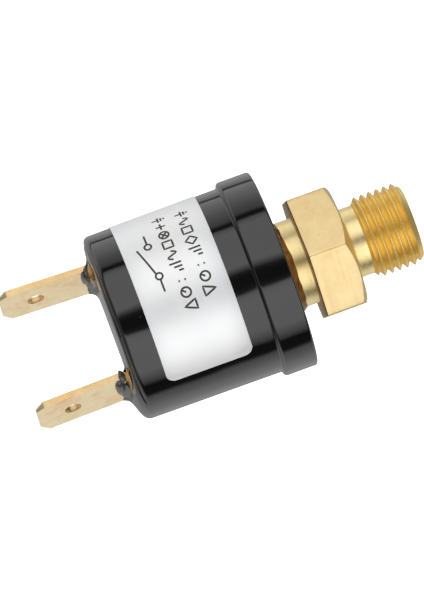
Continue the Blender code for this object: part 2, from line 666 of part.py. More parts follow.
def make_terminal(name, side, tip_high, splay):
    half = TAB_WIDTH / 2.0
    mesh = prism_mesh(terminal_side_profile(side, tip_high, splay), "Y", -half - MM, half + MM)
    tab = add_object(name, mesh, "brass")
    reach = sorted((side * (FOOT_INNER_X - MM), side * (TAB_X + 2.0 * MM)))
    front = prism_mesh(terminal_front_profile(tip_high), "X", *reach)
    apply_cut(tab, name + "_outline", front, "INTERSECT")
    hole_high = tip_high - TAB_HOLE_DROP
    hole = []
    for step in range(SMALL_STEPS):
        angle = FULL_TURN * step / SMALL_STEPS
        hole.append((TAB_HOLE_RADIUS * math.cos(angle),
                     hole_high + TAB_HOLE_RADIUS * math.sin(angle)))
    lock = prism_mesh(hole, "X", *sorted((side * (TAB_X - MM), side * (TAB_X + 2.0 * MM))))
    apply_cut(tab, name + "_lock_hole", lock)
    rivet = turned_mesh(cylinder_profile(EYELET_HOLE, FOOT_LOW - MM, FOOT_LOW + 2.0 * MM),
                        SMALL_STEPS, (side * EYELET_X, 0.0))
    apply_cut(tab, name + "_rivet_hole", rivet)


def main():
    clear_scene()
    make_port_fitting()
    make_outer_housing()
    make_label()
    make_neck_sealant()
    make_potting_seal()
    make_crimp_can()
    make_port_o_ring()
    make_diaphragm()
    make_pressure_button()
    make_disc_seat_ring()
    make_snap_disc()
    make_pin_guide()
    make_push_pin()
    make_switch_base()
    make_contact_blade()
    make_fixed_contact_plate()
    make_fixed_contact()
    make_eyelet("left_eyelet", -1.0, BLADE_LOW)
    make_eyelet("right_eyelet", 1.0, PLATE_FOOT_HIGH - PLATE_THICKNESS)
    make_terminal("left_terminal", -1.0, LEFT_TAB_TIP, LEFT_TAB_SPLAY)
    make_terminal("right_terminal", 1.0, RIGHT_TAB_TIP, RIGHT_TAB_SPLAY)


main()
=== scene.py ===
import math

import bmesh
import bpy
from mathutils import Matrix, Vector


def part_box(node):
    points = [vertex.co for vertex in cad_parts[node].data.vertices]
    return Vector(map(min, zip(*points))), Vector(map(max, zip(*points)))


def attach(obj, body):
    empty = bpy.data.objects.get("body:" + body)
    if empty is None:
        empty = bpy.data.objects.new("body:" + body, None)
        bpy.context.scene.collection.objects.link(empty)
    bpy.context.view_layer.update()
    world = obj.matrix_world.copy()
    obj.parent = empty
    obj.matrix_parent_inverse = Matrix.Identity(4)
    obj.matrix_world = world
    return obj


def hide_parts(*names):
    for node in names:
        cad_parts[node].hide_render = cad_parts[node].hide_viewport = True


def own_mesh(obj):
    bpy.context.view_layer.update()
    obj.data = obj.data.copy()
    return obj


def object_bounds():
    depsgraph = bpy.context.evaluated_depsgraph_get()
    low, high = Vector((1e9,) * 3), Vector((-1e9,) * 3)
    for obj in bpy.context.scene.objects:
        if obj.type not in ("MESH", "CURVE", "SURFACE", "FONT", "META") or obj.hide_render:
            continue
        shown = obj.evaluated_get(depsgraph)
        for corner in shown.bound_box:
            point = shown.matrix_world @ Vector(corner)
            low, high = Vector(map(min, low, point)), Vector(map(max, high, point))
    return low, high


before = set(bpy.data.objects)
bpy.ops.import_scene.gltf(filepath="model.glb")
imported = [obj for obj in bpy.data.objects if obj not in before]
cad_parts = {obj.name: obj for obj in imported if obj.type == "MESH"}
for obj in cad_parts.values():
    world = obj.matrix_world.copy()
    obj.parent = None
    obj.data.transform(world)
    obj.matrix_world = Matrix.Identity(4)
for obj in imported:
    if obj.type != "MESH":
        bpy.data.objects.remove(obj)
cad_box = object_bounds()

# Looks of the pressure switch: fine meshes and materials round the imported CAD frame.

MM = 0.001
FULL_TURN = 2.0 * math.pi

# Places read from the frame
HOUSING_MIN, HOUSING_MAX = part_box("outer_housing")
LABEL_MIN, LABEL_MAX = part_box("label")
FITTING_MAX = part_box("pressure_port_fitting")[1]
RIGHT_TAB_MIN, RIGHT_TAB_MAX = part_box("right_terminal")
LEFT_TAB_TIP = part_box("left_terminal")[1].z
FLANGE_RADIUS = HOUSING_MAX.x
HOUSING_LOW = HOUSING_MIN.z
HOUSING_HIGH = HOUSING_MAX.z
AXIS_MIDDLE = (cad_box[0].z + cad_box[1].z) / 2.0

# Housing, as in the CAD
HOUSING_STEP = HOUSING_LOW + 4.0 * MM
BODY_RADIUS_LOW = 11.1 * MM
BODY_RADIUS_HIGH = 11.0 * MM
CUP_RADIUS = 9.8 * MM
CUP_FLOOR = HOUSING_LOW + 1.3 * MM
RIM_ROUND = 0.7 * MM
NECK_HOLE = 5.4 * MM

# Port fitting, as in the CAD
THREAD_CREST_RADIUS = 4.864 * MM
THREAD_DEPTH = 0.581 * MM
THREAD_PITCH = 0.907 * MM
THREAD_FLANK = math.tan(math.radians(27.5))
THREAD_ROUNDING = 0.11 * MM
THREAD_START_TURN = 0.5
THREAD_END_RADIUS = 4.12 * MM
THREAD_LEAD_SLOPE = 0.85
RELIEF_LOW = 6.0 * MM
RELIEF_RADIUS = 4.1 * MM
HEX_LOW = 7.85 * MM
HEX_HIGH = 13.05 * MM
HEX_HALF_FLATS = 7.0 * MM
HEX_VERTEX_AZIMUTH = math.radians(7.5)
HEX_CHAMFER_RADIUS = 6.7 * MM
HEX_CHAMFER_SLOPE = math.tan(math.radians(30.0))
HEX_CORNER_SHARPNESS = 120.0
HEX_TOP_BREAK = 0.12 * MM
NECK_RADIUS = 5.1 * MM
BASE_FLANGE_RADIUS = FITTING_MAX.x
BASE_FLANGE_LOW = FITTING_MAX.z - 2.0 * MM
BASE_FLANGE_HIGH = FITTING_MAX.z
GROOVE_INNER = 5.7 * MM
GROOVE_OUTER = 7.5 * MM
GROOVE_DEPTH = 1.1 * MM
POCKET_RADIUS = 3.0 * MM
POCKET_DEPTH = 1.0 * MM
BORE_RADIUS = 1.5 * MM
BORE_MOUTH = 0.55 * MM

# Amber bead
SEALANT_HEAVY = math.radians(175.0)
SEALANT_WIDTH = 1.25 * MM
SEALANT_HEIGHT = 0.98 * MM

# Label. Rows of marks: kinds, first azimuth in degrees, drop from the upper edge, pitch.
LABEL_START = math.radians(202.0)
LABEL_END = math.radians(358.0)
LABEL_CORNER = 1.1 * MM
LABEL_LIFT = 0.02 * MM
LABEL_THICKNESS = 0.09 * MM
LABEL_LENGTH = (LABEL_END - LABEL_START) * BODY_RADIUS_LOW
CONTACT_AZIMUTH = 257.0
CONTACT_DROP = 3.05 * MM
CONTACT_LENGTH = 7.9 * MM
CONTACT_DOT = 0.40 * MM
CONTACT_LIFT = 1.35 * MM
MARK_SIZE = 1.4 * MM
MARK_ROWS = (
    (("rise", "gauge", "colon", "bars", "wave", "square", "lamp", "cross", "earth"),
     241.5, 5.95 * MM, 1.56 * MM),
    (("fall", "gauge", "colon", "bars", "diamond", "square", "wave", "earth"),
     246.5, 8.60 * MM, 1.58 * MM),
)
INK_LIFT = 0.004 * MM
INK_THICKNESS = 0.006 * MM
INK_STROKE = 0.225 * MM
INK_STEP = 0.35 * MM

# Spade terminals
TAB_THICKNESS = 0.8 * MM
TAB_X = 6.95 * MM
TAB_WIDTH = RIGHT_TAB_MAX.y - RIGHT_TAB_MIN.y
FOOT_LOW = RIGHT_TAB_MIN.z
FOOT_INNER_X = RIGHT_TAB_MIN.x
RIGHT_TAB_TIP = RIGHT_TAB_MAX.z
LEFT_TAB_SPLAY = math.tan(math.radians(0.9))
RIGHT_TAB_SPLAY = math.tan(math.radians(2.2))
TAB_CORNER = 1.0 * MM
TAB_TIP_BEVEL = 1.1 * MM
TAB_TIP_THICKNESS = 0.4 * MM
TAB_HOLE_RADIUS = 0.95 * MM
TAB_HOLE_DROP = 4.1 * MM
TAB_EDGE = 0.07 * MM
TAB_BEND = 0.5 * MM
FOOT_HALF_WIDTH = 2.5 * MM
FOOT_RISE = 1.3 * MM
EYELET_X = 4.6 * MM
EYELET_HOLE_RADIUS = 0.95 * MM

# Potting
POTTING_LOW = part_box("potting_seal")[0].z
RESIN_EDGE = CUP_RADIUS + 0.35 * MM
RESIN_STAND = 0.17 * MM
RESIN_DOME = 0.24 * MM
RESIN_TILT = 0.013
RESIN_HIGH_SIDE = math.radians(246.0)
SPILL_EDGE = BODY_RADIUS_HIGH - 0.05 * MM
SPILL_SIDE = math.radians(162.0)
SPILL_INNER = 6.6 * MM
SPILL_OUTER = 9.0 * MM
PAD_EDGE_POWER = 24.0
SPILL_EDGE_POWER = 11.0
RIGHT_DRAW = 0.11 * MM
LEFT_DRAW = 0.22 * MM
SPILL_DRAW = 0.66 * MM
DRAW_RUN = 1.5 * MM
SPILL_RUN = 3.0 * MM
SKIRT_RUN = 0.30 * MM
SKIRT_REACH = 1.4 * MM
SKIRT_LEAST = 0.08 * MM
POOL_RUN = 0.45 * MM
POOL_REACH = 1.3 * MM
POOL_LEAST = -0.05 * MM

# Snap disc
DISC_MIN, DISC_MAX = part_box("snap_disc")
DISC_DISH = 0.4 * MM
DISC_EDGE = 0.05 * MM

# View
VIEW_AZIMUTH = math.radians(246.5)
VIEW_ELEVATION = math.radians(3.1)
VIEW_ROLL = math.radians(110.0)
VIEW_HEIGHT = 24.53 * MM
VIEW_DROP = 0.67 * MM
LENS = 350.0
SENSOR = 36.0
IMAGE_LONG_SIDE = 600.0
PIXELS_PER_METRE = 8770.0


# -------- mesh tools

def make_object(name, bm, materials, smooth_angle=40.0):
    bmesh.ops.recalc_face_normals(bm, faces=bm.faces[:])
    mesh = bpy.data.meshes.new(name)
    bm.to_mesh(mesh)
    bm.free()
    mesh.shade_smooth()
    mesh.set_sharp_from_angle(angle=math.radians(smooth_angle))
    for material in materials:
        mesh.materials.append(material)
    obj = bpy.data.objects.new(name, mesh)
    bpy.context.scene.collection.objects.link(obj)
    return obj


def stand_for(obj, node, body="root"):
    """The piece takes a CAD node's place and body: the node is hidden and the piece hangs from the
    body's empty.
    """
    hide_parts(node)
    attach(obj, body)
    return obj


def arc(centre_r, centre_z, radius, start_deg, end_deg, steps):
    points = []
    for step in range(steps + 1):
        angle = math.radians(start_deg + (end_deg - start_deg) * step / steps)
        points.append((centre_r + radius * math.cos(angle), centre_z + radius * math.sin(angle)))
    return points


def soften(points, radius, steps=3):
    """Rounds each corner of a closed outline with a small quadratic curve."""
    rounded = []
    count = len(points)
    for index in range(count):
        here = Vector(points[index])
        back = Vector(points[index - 1]) - here
        ahead = Vector(points[(index + 1) % count]) - here
        reach_back = min(radius, 0.45 * back.length)
        reach_ahead = min(radius, 0.45 * ahead.length)
        start = here + back.normalized() * reach_back
        end = here + ahead.normalized() * reach_ahead
        for step in range(steps + 1):
            share = step / steps
            point = start * (1 - share) ** 2 + here * 2 * share * (1 - share) + end * share ** 2
            rounded.append((point.x, point.y))
    return rounded


def grid_faces(bm, rows, close_rows=True, close_columns=True):
    """Quads between neighbouring rows of vertices."""
    row_count = len(rows)
    column_count = len(rows[0])
    for i in range(row_count if close_rows else row_count - 1):
        here = rows[i]
        following = rows[(i + 1) % row_count]
        for j in range(column_count if close_columns else column_count - 1):
            k = (j + 1) % column_count
            bm.faces.new((here[j], following[j], following[k], here[k]))


def capped_grid(bm, rows):
    """An open row of loops, with a face over each end."""
    grid_faces(bm, rows, close_rows=False)
    bm.faces.new(rows[0])
    bm.faces.new(rows[-1])


def fan_caps(bm, rows, top, bottom):
    """Closes a ring of rows with triangles to a top and a bottom point."""
    top = bm.verts.new(top)
    bottom = bm.verts.new(bottom)
    for row, following in zip(rows, rows[1:] + rows[:1]):
        bm.faces.new((top, row[0], following[0]))
        bm.faces.new((bottom, following[-1], row[-1]))


def polar(radius, azimuth, height):
    return (radius * math.cos(azimuth), radius * math.sin(azimuth), height)


def turned_mesh(outline_at, steps):
    """A closed outline of (radius, height) swept round the axis. It may change with azimuth."""
    bm = bmesh.new()
    rows = []
    for step in range(steps):
        azimuth = FULL_TURN * step / steps
        rows.append([bm.verts.new(polar(r, azimuth, z)) for r, z in outline_at(azimuth)])
    grid_faces(bm, rows)
    return bm


# -------- node tools

class Nodes:
    """Short calls for building a material's node tree."""

    def __init__(self, name):
        self.material = bpy.data.materials.new(name)
        self.material.use_nodes = True
        self.tree = self.material.node_tree
        self.shader = self.tree.nodes["Principled BSDF"]
        self.place = self.add("ShaderNodeTexCoord").outputs["Object"]

    def add(self, kind, **settings):
        node = self.tree.nodes.new(kind)
        for key, value in settings.items():
            setattr(node, key, value)
        return node

    def feed(self, value, socket):
        if isinstance(value, bpy.types.NodeSocket):
            self.tree.links.new(value, socket)
        else:
            socket.default_value = value

    def stretch(self, scale):
        mapping = self.add("ShaderNodeMapping")
        self.feed(self.place, mapping.inputs["Vector"])
        mapping.inputs["Scale"].default_value = scale
        return mapping.outputs["Vector"]

    def noise(self, scale, detail=3.0, roughness=0.55, stretch=None):
        node = self.add("ShaderNodeTexNoise")
        self.feed(self.stretch(stretch) if stretch else self.place, node.inputs["Vector"])
        for socket, value in (("Scale", scale), ("Detail", detail), ("Roughness", roughness)):
            node.inputs[socket].default_value = value
        return node.outputs["Fac"]

    def span(self, value, low, high, to_low=0.0, to_high=1.0):
        node = self.add("ShaderNodeMapRange")
        self.feed(value, node.inputs["Value"])
        for socket, limit in (("From Min", low), ("From Max", high), ("To Min", to_low),
                              ("To Max", to_high)):
            node.inputs[socket].default_value = limit
        return node.outputs["Result"]

    def math(self, operation, first, second=0.0):
        node = self.add("ShaderNodeMath", operation=operation)
        self.feed(first, node.inputs[0])
        self.feed(second, node.inputs[1])
        return node.outputs[0]

    def mix(self, share, first, second):
        node = self.add("ShaderNodeMix", data_type="RGBA")
        self.feed(share, node.inputs["Factor"])
        self.feed(first, node.inputs[6])
        self.feed(second, node.inputs[7])
        return node.outputs[2]

    def bump(self, height, distance, before=None):
        node = self.add("ShaderNodeBump")
        node.inputs["Distance"].default_value = distance
        node.inputs["Strength"].default_value = 1.0
        self.feed(height, node.inputs["Height"])
        if before:
            self.feed(before, node.inputs["Normal"])
        return node.outputs["Normal"]

    def surface(self, **values):
        for name, value in values.items():
            self.feed(value, self.shader.inputs[name.replace("_", " ")])
        return self.material


def colour(red, green, blue):
    return (red, green, blue, 1.0)


WHITE = colour(1.0, 1.0, 1.0)


# -------- materials

def glossy_black(name, ripple, wave, roughness, tone=0.0028):
    """Cured black resin: clear reflections, slight orange peel and a few dust specks."""
    n = Nodes(name)
    specks = n.span(n.noise(2600.0, 1.0), 0.74, 0.80)
    smear = n.noise(240.0, 4.0, stretch=(1.0, 1.0, 0.35))
    base = n.mix(specks, colour(tone, tone, 1.07 * tone), colour(0.020, 0.019, 0.018))
    rough = n.math("ADD", n.span(smear, 0.35, 0.7, roughness, roughness + 0.05),
                   n.math("MULTIPLY", specks, 0.15))
    large = n.bump(n.noise(wave, 1.0), 0.00010 * ripple)
    fine = n.bump(n.noise(1500.0, 2.0), 0.0000025 * ripple, before=large)
    return n.surface(Base_Color=base, Roughness=rough, Normal=fine, IOR=1.72)


def turned_brass(name, light, dark, roughness, line_depth, speck_depth):
    """Brass with fine tool lines round the axis, pale patches and dark pin specks."""
    n = Nodes(name)
    patches = n.noise(300.0, 6.0, 0.78)
    specks = n.span(n.noise(3400.0, 2.0, 0.7), 0.66, 0.74)
    lines = n.noise(900.0, 2.0, 0.6, stretch=(0.06, 0.06, 6.0))
    tone = n.mix(n.span(patches, 0.36, 0.66), dark, light)
    spotted = n.mix(n.math("MULTIPLY", specks, 0.45), tone, colour(0.42, 0.25, 0.07))
    rough = n.math("ADD", n.span(lines, 0.3, 0.7, roughness - 0.05, roughness + 0.06),
                   n.math("MULTIPLY", specks, 0.12))
    rings = n.bump(lines, 0.000004 * line_depth)
    pits = n.bump(n.noise(2600.0, 4.0, 0.75), 0.000006 * speck_depth, before=rings)
    return n.surface(Base_Color=spotted, Metallic=1.0, Roughness=rough, Normal=pits)


def tab_brass(name, dark, light):
    """Rolled brass strip with long fine scratches and warm heat tint."""
    n = Nodes(name)
    scratches = n.noise(1300.0, 3.0, 0.65, stretch=(1.0, 1.6, 0.05))
    patches = n.noise(420.0, 6.0, 0.72)
    tint = n.noise(260.0, 5.0, 0.7)
    tone = n.mix(n.span(patches, 0.35, 0.68), dark, light)
    warm = n.mix(n.span(tint, 0.52, 0.68, 0.0, 0.70), tone, colour(0.84, 0.50, 0.22))
    rough = n.span(scratches, 0.3, 0.72, 0.26, 0.42)
    lines = n.bump(scratches, 0.000005)
    pits = n.bump(n.noise(2600.0, 3.0, 0.7), 0.000003, before=lines)
    return n.surface(Base_Color=warm, Metallic=1.0, Roughness=rough, Normal=pits)


def label_foil():
    """Satin silver film: soft reflections with a faint cool mottling."""
    n = Nodes("label_foil_film")
    cloud = n.noise(120.0, 3.0)
    grain = n.noise(2400.0, 2.0, 0.6)
    tone = n.mix(n.span(cloud, 0.35, 0.65), colour(0.93, 0.94, 0.955), colour(0.965, 0.965, 0.96))
    rough = n.span(grain, 0.3, 0.7, 0.44, 0.54)
    return n.surface(Base_Color=tone, Metallic=0.7, Roughness=rough,
                     Normal=n.bump(grain, 0.0000012))


def label_ink():
    """Dark brown-grey print with slightly uneven cover."""
    n = Nodes("label_print_ink")
    cover = n.noise(2800.0, 3.0, 0.7)
    tone = n.mix(n.span(cover, 0.35, 0.75), colour(0.034, 0.027, 0.023),
                 colour(0.080, 0.067, 0.058))
    return n.surface(Base_Color=tone, Roughness=0.55, Normal=n.bump(cover, 0.000001))


def amber_resin():
    """Cured thread sealant: brown and amber, half clear, with lumps."""
    n = Nodes("amber_sealant")
    lumps = n.noise(520.0, 4.0, 0.6)
    tone = n.mix(n.span(lumps, 0.34, 0.68), colour(0.15, 0.052, 0.012), colour(0.50, 0.22, 0.050))
    rough = n.span(lumps, 0.3, 0.7, 0.22, 0.42)
    return n.surface(Base_Color=tone, Roughness=rough, Normal=n.bump(lumps, 0.00008),
                     Subsurface_Weight=0.15, Subsurface_Scale=0.0005)


def pool_resin_and_painted_reflection():
    """Thin golden resin at the terminals' roots, with brown streaks. Its light gold is partly the
    resin's own colour and partly a painted reflection of the brass terminal.
    """
    n = Nodes("amber_pool_and_painted_reflection")
    streaks = n.noise(900.0, 3.0, 0.6, stretch=(1.0, 1.0, 2.2))
    # The light gold partly stands for the brass terminal reflected in the resin: painted
    # reflection.
    gold_and_painted_reflection = n.mix(n.span(streaks, 0.38, 0.52), colour(0.20, 0.068, 0.014), colour(0.64, 0.40, 0.15))
    return n.surface(Base_Color=gold_and_painted_reflection, Roughness=0.16, Normal=n.bump(streaks, 0.00003),
                     Coat_Weight=0.4, Coat_Roughness=0.08)


def plain_metal(name, light, dark, roughness):
    """Drawn or rolled sheet for the pieces inside."""
    n = Nodes(name)
    grain = n.noise(1100.0, 3.0, 0.6, stretch=(1.0, 1.0, 0.1))
    tone = n.mix(n.span(grain, 0.35, 0.65), dark, light)
    rough = n.span(grain, 0.3, 0.7, roughness - 0.06, roughness + 0.08)
    return n.surface(Base_Color=tone, Metallic=1.0, Roughness=rough,
                     Normal=n.bump(grain, 0.000003))


def plain_moulding(name, light, dark, roughness):
    """Phenolic, ceramic, film or rubber for the pieces inside."""
    n = Nodes(name)
    flow = n.noise(600.0, 5.0, 0.65)
    tone = n.mix(n.span(flow, 0.33, 0.67), dark, light)
    rough = n.span(flow, 0.3, 0.7, roughness - 0.05, roughness + 0.10)
    return n.surface(Base_Color=tone, Roughness=rough, Normal=n.bump(flow, 0.000006))


# -------- housing and resin

def body_radius(height):
    share = (height - HOUSING_STEP) / (HOUSING_HIGH - HOUSING_STEP)
    return BODY_RADIUS_LOW + (BODY_RADIUS_HIGH - BODY_RADIUS_LOW) * share


def build_housing():
    rim = RIM_ROUND
    fillet = 0.28 * MM
    edge_low = 0.30 * MM
    edge_step = 0.38 * MM
    lip = 0.12 * MM
    outline = [(NECK_HOLE, CUP_FLOOR), (NECK_HOLE, HOUSING_LOW)]
    outline += arc(FLANGE_RADIUS - edge_low, HOUSING_LOW + edge_low, edge_low, -90, 0, 6)
    outline += [(FLANGE_RADIUS, (HOUSING_LOW + HOUSING_STEP) / 2.0)]
    outline += arc(FLANGE_RADIUS - edge_step, HOUSING_STEP - edge_step, edge_step, 0, 90, 6)
    outline += arc(BODY_RADIUS_LOW + fillet, HOUSING_STEP + fillet, fillet, 270, 180, 5)
    for step in range(1, 6):
        height = HOUSING_STEP + (HOUSING_HIGH - HOUSING_STEP) * step / 6.0
        outline.append((body_radius(height), height))
    outline += arc(BODY_RADIUS_HIGH - rim, HOUSING_HIGH - rim, rim, 0, 90, 8)
    outline += arc(CUP_RADIUS + lip, HOUSING_HIGH - lip, lip, 90, 180, 3)
    outline += [(CUP_RADIUS, CUP_FLOOR)]
    mesh = turned_mesh(lambda azimuth: outline, 192)
    gloss = glossy_black("black_moulding_gloss", 1.0, 160.0, 0.03)
    shell = make_object("housing_shell", mesh, [gloss])
    stand_for(shell, "outer_housing")


def build_sealant():
    """An uneven bead in the corner between the brass neck and the housing's end."""
    def outline(azimuth):
        lump = (0.5 * math.sin(3 * azimuth + 0.7) + 0.3 * math.sin(7 * azimuth + 2.1)
                + 0.2 * math.sin(17 * azimuth + 0.3))
        outer = NECK_RADIUS + SEALANT_WIDTH + 0.20 * MM * lump
        heavy = 0.18 * MM * math.cos(azimuth - SEALANT_HEAVY)
        low = HOUSING_LOW - (SEALANT_HEIGHT + heavy + 0.13 * MM * lump)
        inner = NECK_RADIUS + 0.01 * MM
        top = HOUSING_LOW - 0.005 * MM
        points = [(inner, top)]
        for step in range(9):
            share = step / 8.0
            points.append((outer - (outer - inner) * share, top - (top - low) * share ** 1.7))
        return points[::-1]
    mesh = turned_mesh(outline, 160)
    bead = make_object("sealant_bead", mesh, [amber_resin()], 60.0)
    stand_for(bead, "neck_sealant")


def tab_distance(x, y, side):
    """Gap between a point of the resin's surface and a terminal."""
    beyond_x = max(0.0, abs(x - side * TAB_X) - TAB_THICKNESS / 2.0)
    beyond_y = max(0.0, abs(y) - TAB_WIDTH / 2.0)
    return math.hypot(beyond_x, beyond_y)


def rim_height(radius):
    """Height of the housing's rim, with its round outer edge."""
    past = max(0.0, radius - (BODY_RADIUS_HIGH - RIM_ROUND))
    return HOUSING_HIGH - RIM_ROUND + math.sqrt(max(0.0, RIM_ROUND ** 2 - past ** 2))


def ease(value, low, high):
    share = min(1.0, max(0.0, (value - low) / (high - low)))
    return share * share * (3.0 - 2.0 * share)


def spill(azimuth):
    """Share of the resin that ran over the rim, at one side only."""
    return max(0.0, math.cos(azimuth - SPILL_SIDE)) ** 4


def resin_edge(azimuth):
    return RESIN_EDGE + (SPILL_EDGE - RESIN_EDGE) * min(1.0, 1.6 * spill(azimuth))


def resin_height(x, y):
    """Shape of the poured resin: a round-edged pad, drawn up towards both terminals."""
    radius = math.hypot(x, y)
    azimuth = math.atan2(y, x)
    limit = resin_edge(azimuth)
    run = spill(azimuth) * ease(radius, SPILL_INNER, SPILL_OUTER)
    power = PAD_EDGE_POWER + (SPILL_EDGE_POWER - PAD_EDGE_POWER) * run
    edge = math.sqrt(max(0.0, 1.0 - (radius / limit) ** power))
    swell = 0.014 * MM * math.sin(3 * azimuth + 1.0) * (radius / limit)
    middle = RESIN_DOME * (1.0 - (radius / limit) ** 2)
    tilt = RESIN_TILT * (x * math.cos(RESIN_HIGH_SIDE) + y * math.sin(RESIN_HIGH_SIDE))
    right = RIGHT_DRAW * math.exp(-tab_distance(x, y, 1.0) / DRAW_RUN)
    spread = DRAW_RUN + SPILL_RUN * run
    left = (LEFT_DRAW + SPILL_DRAW * run) * math.exp(-tab_distance(x, y, -1.0) / spread)
    low = rim_height(limit) + 0.01 * MM
    top = HOUSING_HIGH + RESIN_STAND + swell + middle + tilt + right + left
    return low + (top - low) * edge


def build_potting(material):
    """Poured resin, over the cup's mouth, with its surface as resin_height says."""
    wall = CUP_RADIUS - 0.01 * MM
    bm = bmesh.new()
    steps = 180
    rings = 56
    rows = []
    for step in range(steps):
        azimuth = FULL_TURN * step / steps
        limit = resin_edge(azimuth)
        row = []
        for ring in range(1, rings + 1):
            x, y, _ = polar(limit * (1.0 - (1.0 - ring / rings) ** 1.8), azimuth, 0.0)
            row.append((x, y, resin_height(x, y)))
        for radius, height in ((limit - 0.03 * MM, rim_height(limit) - 0.02 * MM),
                               (wall, HOUSING_HIGH - 0.10 * MM), (wall, POTTING_LOW)):
            row.append(polar(radius, azimuth, height))
        rows.append([bm.verts.new(point) for point in row])
    grid_faces(bm, rows, close_columns=False)
    fan_caps(bm, rows, (0.0, 0.0, resin_height(0.0, 0.0)), (0.0, 0.0, POTTING_LOW))
    disc = make_object("potting_disc", bm, [material])
    stand_for(disc, "potting_seal")


def rounded_loop(half_x, half_y, offset, corner_steps, side_steps):
    """Points round a rectangle grown by an offset, with round corners, as (x, y)."""
    points = []
    corners = ((half_x, half_y, 0), (-half_x, half_y, 90), (-half_x, -half_y, 180),
               (half_x, -half_y, 270))
    for index, (x, y, start) in enumerate(corners):
        next_x, next_y, _ = corners[(index + 1) % 4]
        for step in range(corner_steps + 1):
            angle = math.radians(start + 90.0 * step / corner_steps)
            points.append((x + offset * math.cos(angle), y + offset * math.sin(angle)))
        normal = math.radians(start + 90.0)
        for step in range(1, side_steps[index % 2]):
            share = step / side_steps[index % 2]
            points.append((x + (next_x - x) * share + offset * math.cos(normal),
                           y + (next_y - y) * share + offset * math.sin(normal)))
    return points


def lean(side, height):
    """Sideways shift of a splayed terminal at a height above the housing."""
    splay = RIGHT_TAB_SPLAY if side > 0.0 else LEFT_TAB_SPLAY
    return side * splay * max(0.0, height - HOUSING_HIGH)


def build_skirt(name, side, climb, run, reach, least, phase, material):
    """The skirt of resin that climbs a terminal's root.

    climb gives its height on the +X face, at the +Y edge, at the -Y edge, and how much the
    line between the two edges bulges upwards on the -X face. run is the distance in which
    the skirt falls off, reach is its width, and least is how far it stands over the pad at
    the least.
    """
    bm = bmesh.new()
    loops = 18
    rows = []
    for loop in range(loops + 1):
        share = loop / loops
        distance = reach * share ** 1.6
        outline = rounded_loop(TAB_THICKNESS / 2.0 - 0.03 * MM, TAB_WIDTH / 2.0 - 0.03 * MM,
                               distance + 0.02 * MM, 6, (8, 40))
        row = []
        for x, y in outline:
            along = ease(y, -TAB_WIDTH / 2.0, TAB_WIDTH / 2.0)
            behind = ease(x, -0.2 * MM, TAB_THICKNESS / 2.0)
            bulge = climb[3] * 4.0 * along * (1.0 - along)
            height = climb[2] + (climb[1] - climb[2]) * along + bulge
            height += (climb[0] - height) * behind
            lump = (math.sin(y * 2100.0 + phase) + 0.6 * math.sin(y * 4700.0 + 2.3 * phase)
                    + 0.5 * math.sin(x * 5200.0 + phase * 4.1))
            place_x = side * TAB_X + x
            base = resin_height(place_x, y)
            steep = max(least, height - (base - HOUSING_HIGH)) * (1.0 + 0.06 * lump)
            level = base + steep * math.exp(-distance / run) - 0.025 * MM * share ** 3
            row.append(bm.verts.new((place_x + lean(side, level) * (1.0 - share), y, level)))
        rows.append(row)
    for source in (rows[-1], rows[0]):
        rows.append([bm.verts.new((vert.co.x, vert.co.y, HOUSING_HIGH - MM)) for vert in source])
    grid_faces(bm, rows)
    skirt = make_object(name, bm, [material], 60.0)
    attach(skirt, "root")
    return skirt


def build_drop(name, origin, across, outward, size, thickness, phase, material):
    """A lens of resin that set on a terminal's face, with an uneven outline."""
    bm = bmesh.new()
    steps = 40
    rings = 9
    origin = Vector(origin)
    across = Vector(across)
    outward = Vector(outward)
    rows = []
    for step in range(steps):
        turn = FULL_TURN * step / steps
        reach = 1.0 + 0.10 * math.sin(2 * turn + phase) + 0.07 * math.sin(3 * turn + 2.0 * phase)
        row = []
        for ring in range(1, rings + 1):
            share = ring / rings
            swell = thickness * (1.0 - share ** 2.4) ** 0.6
            place = (origin + across * (size[0] * reach * share * math.cos(turn))
                     + Vector((0.0, 0.0, size[1] * reach * share * math.sin(turn)))
                     + outward * swell)
            row.append(bm.verts.new(place))
        rim = row[-1].co - outward * 0.1 * MM
        row.append(bm.verts.new(rim))
        rows.append(row)
    grid_faces(bm, rows, close_columns=False)
    fan_caps(bm, rows, origin + outward * thickness, origin - outward * 0.1 * MM)
    drop = make_object(name, bm, [material], 60.0)
    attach(drop, "root")


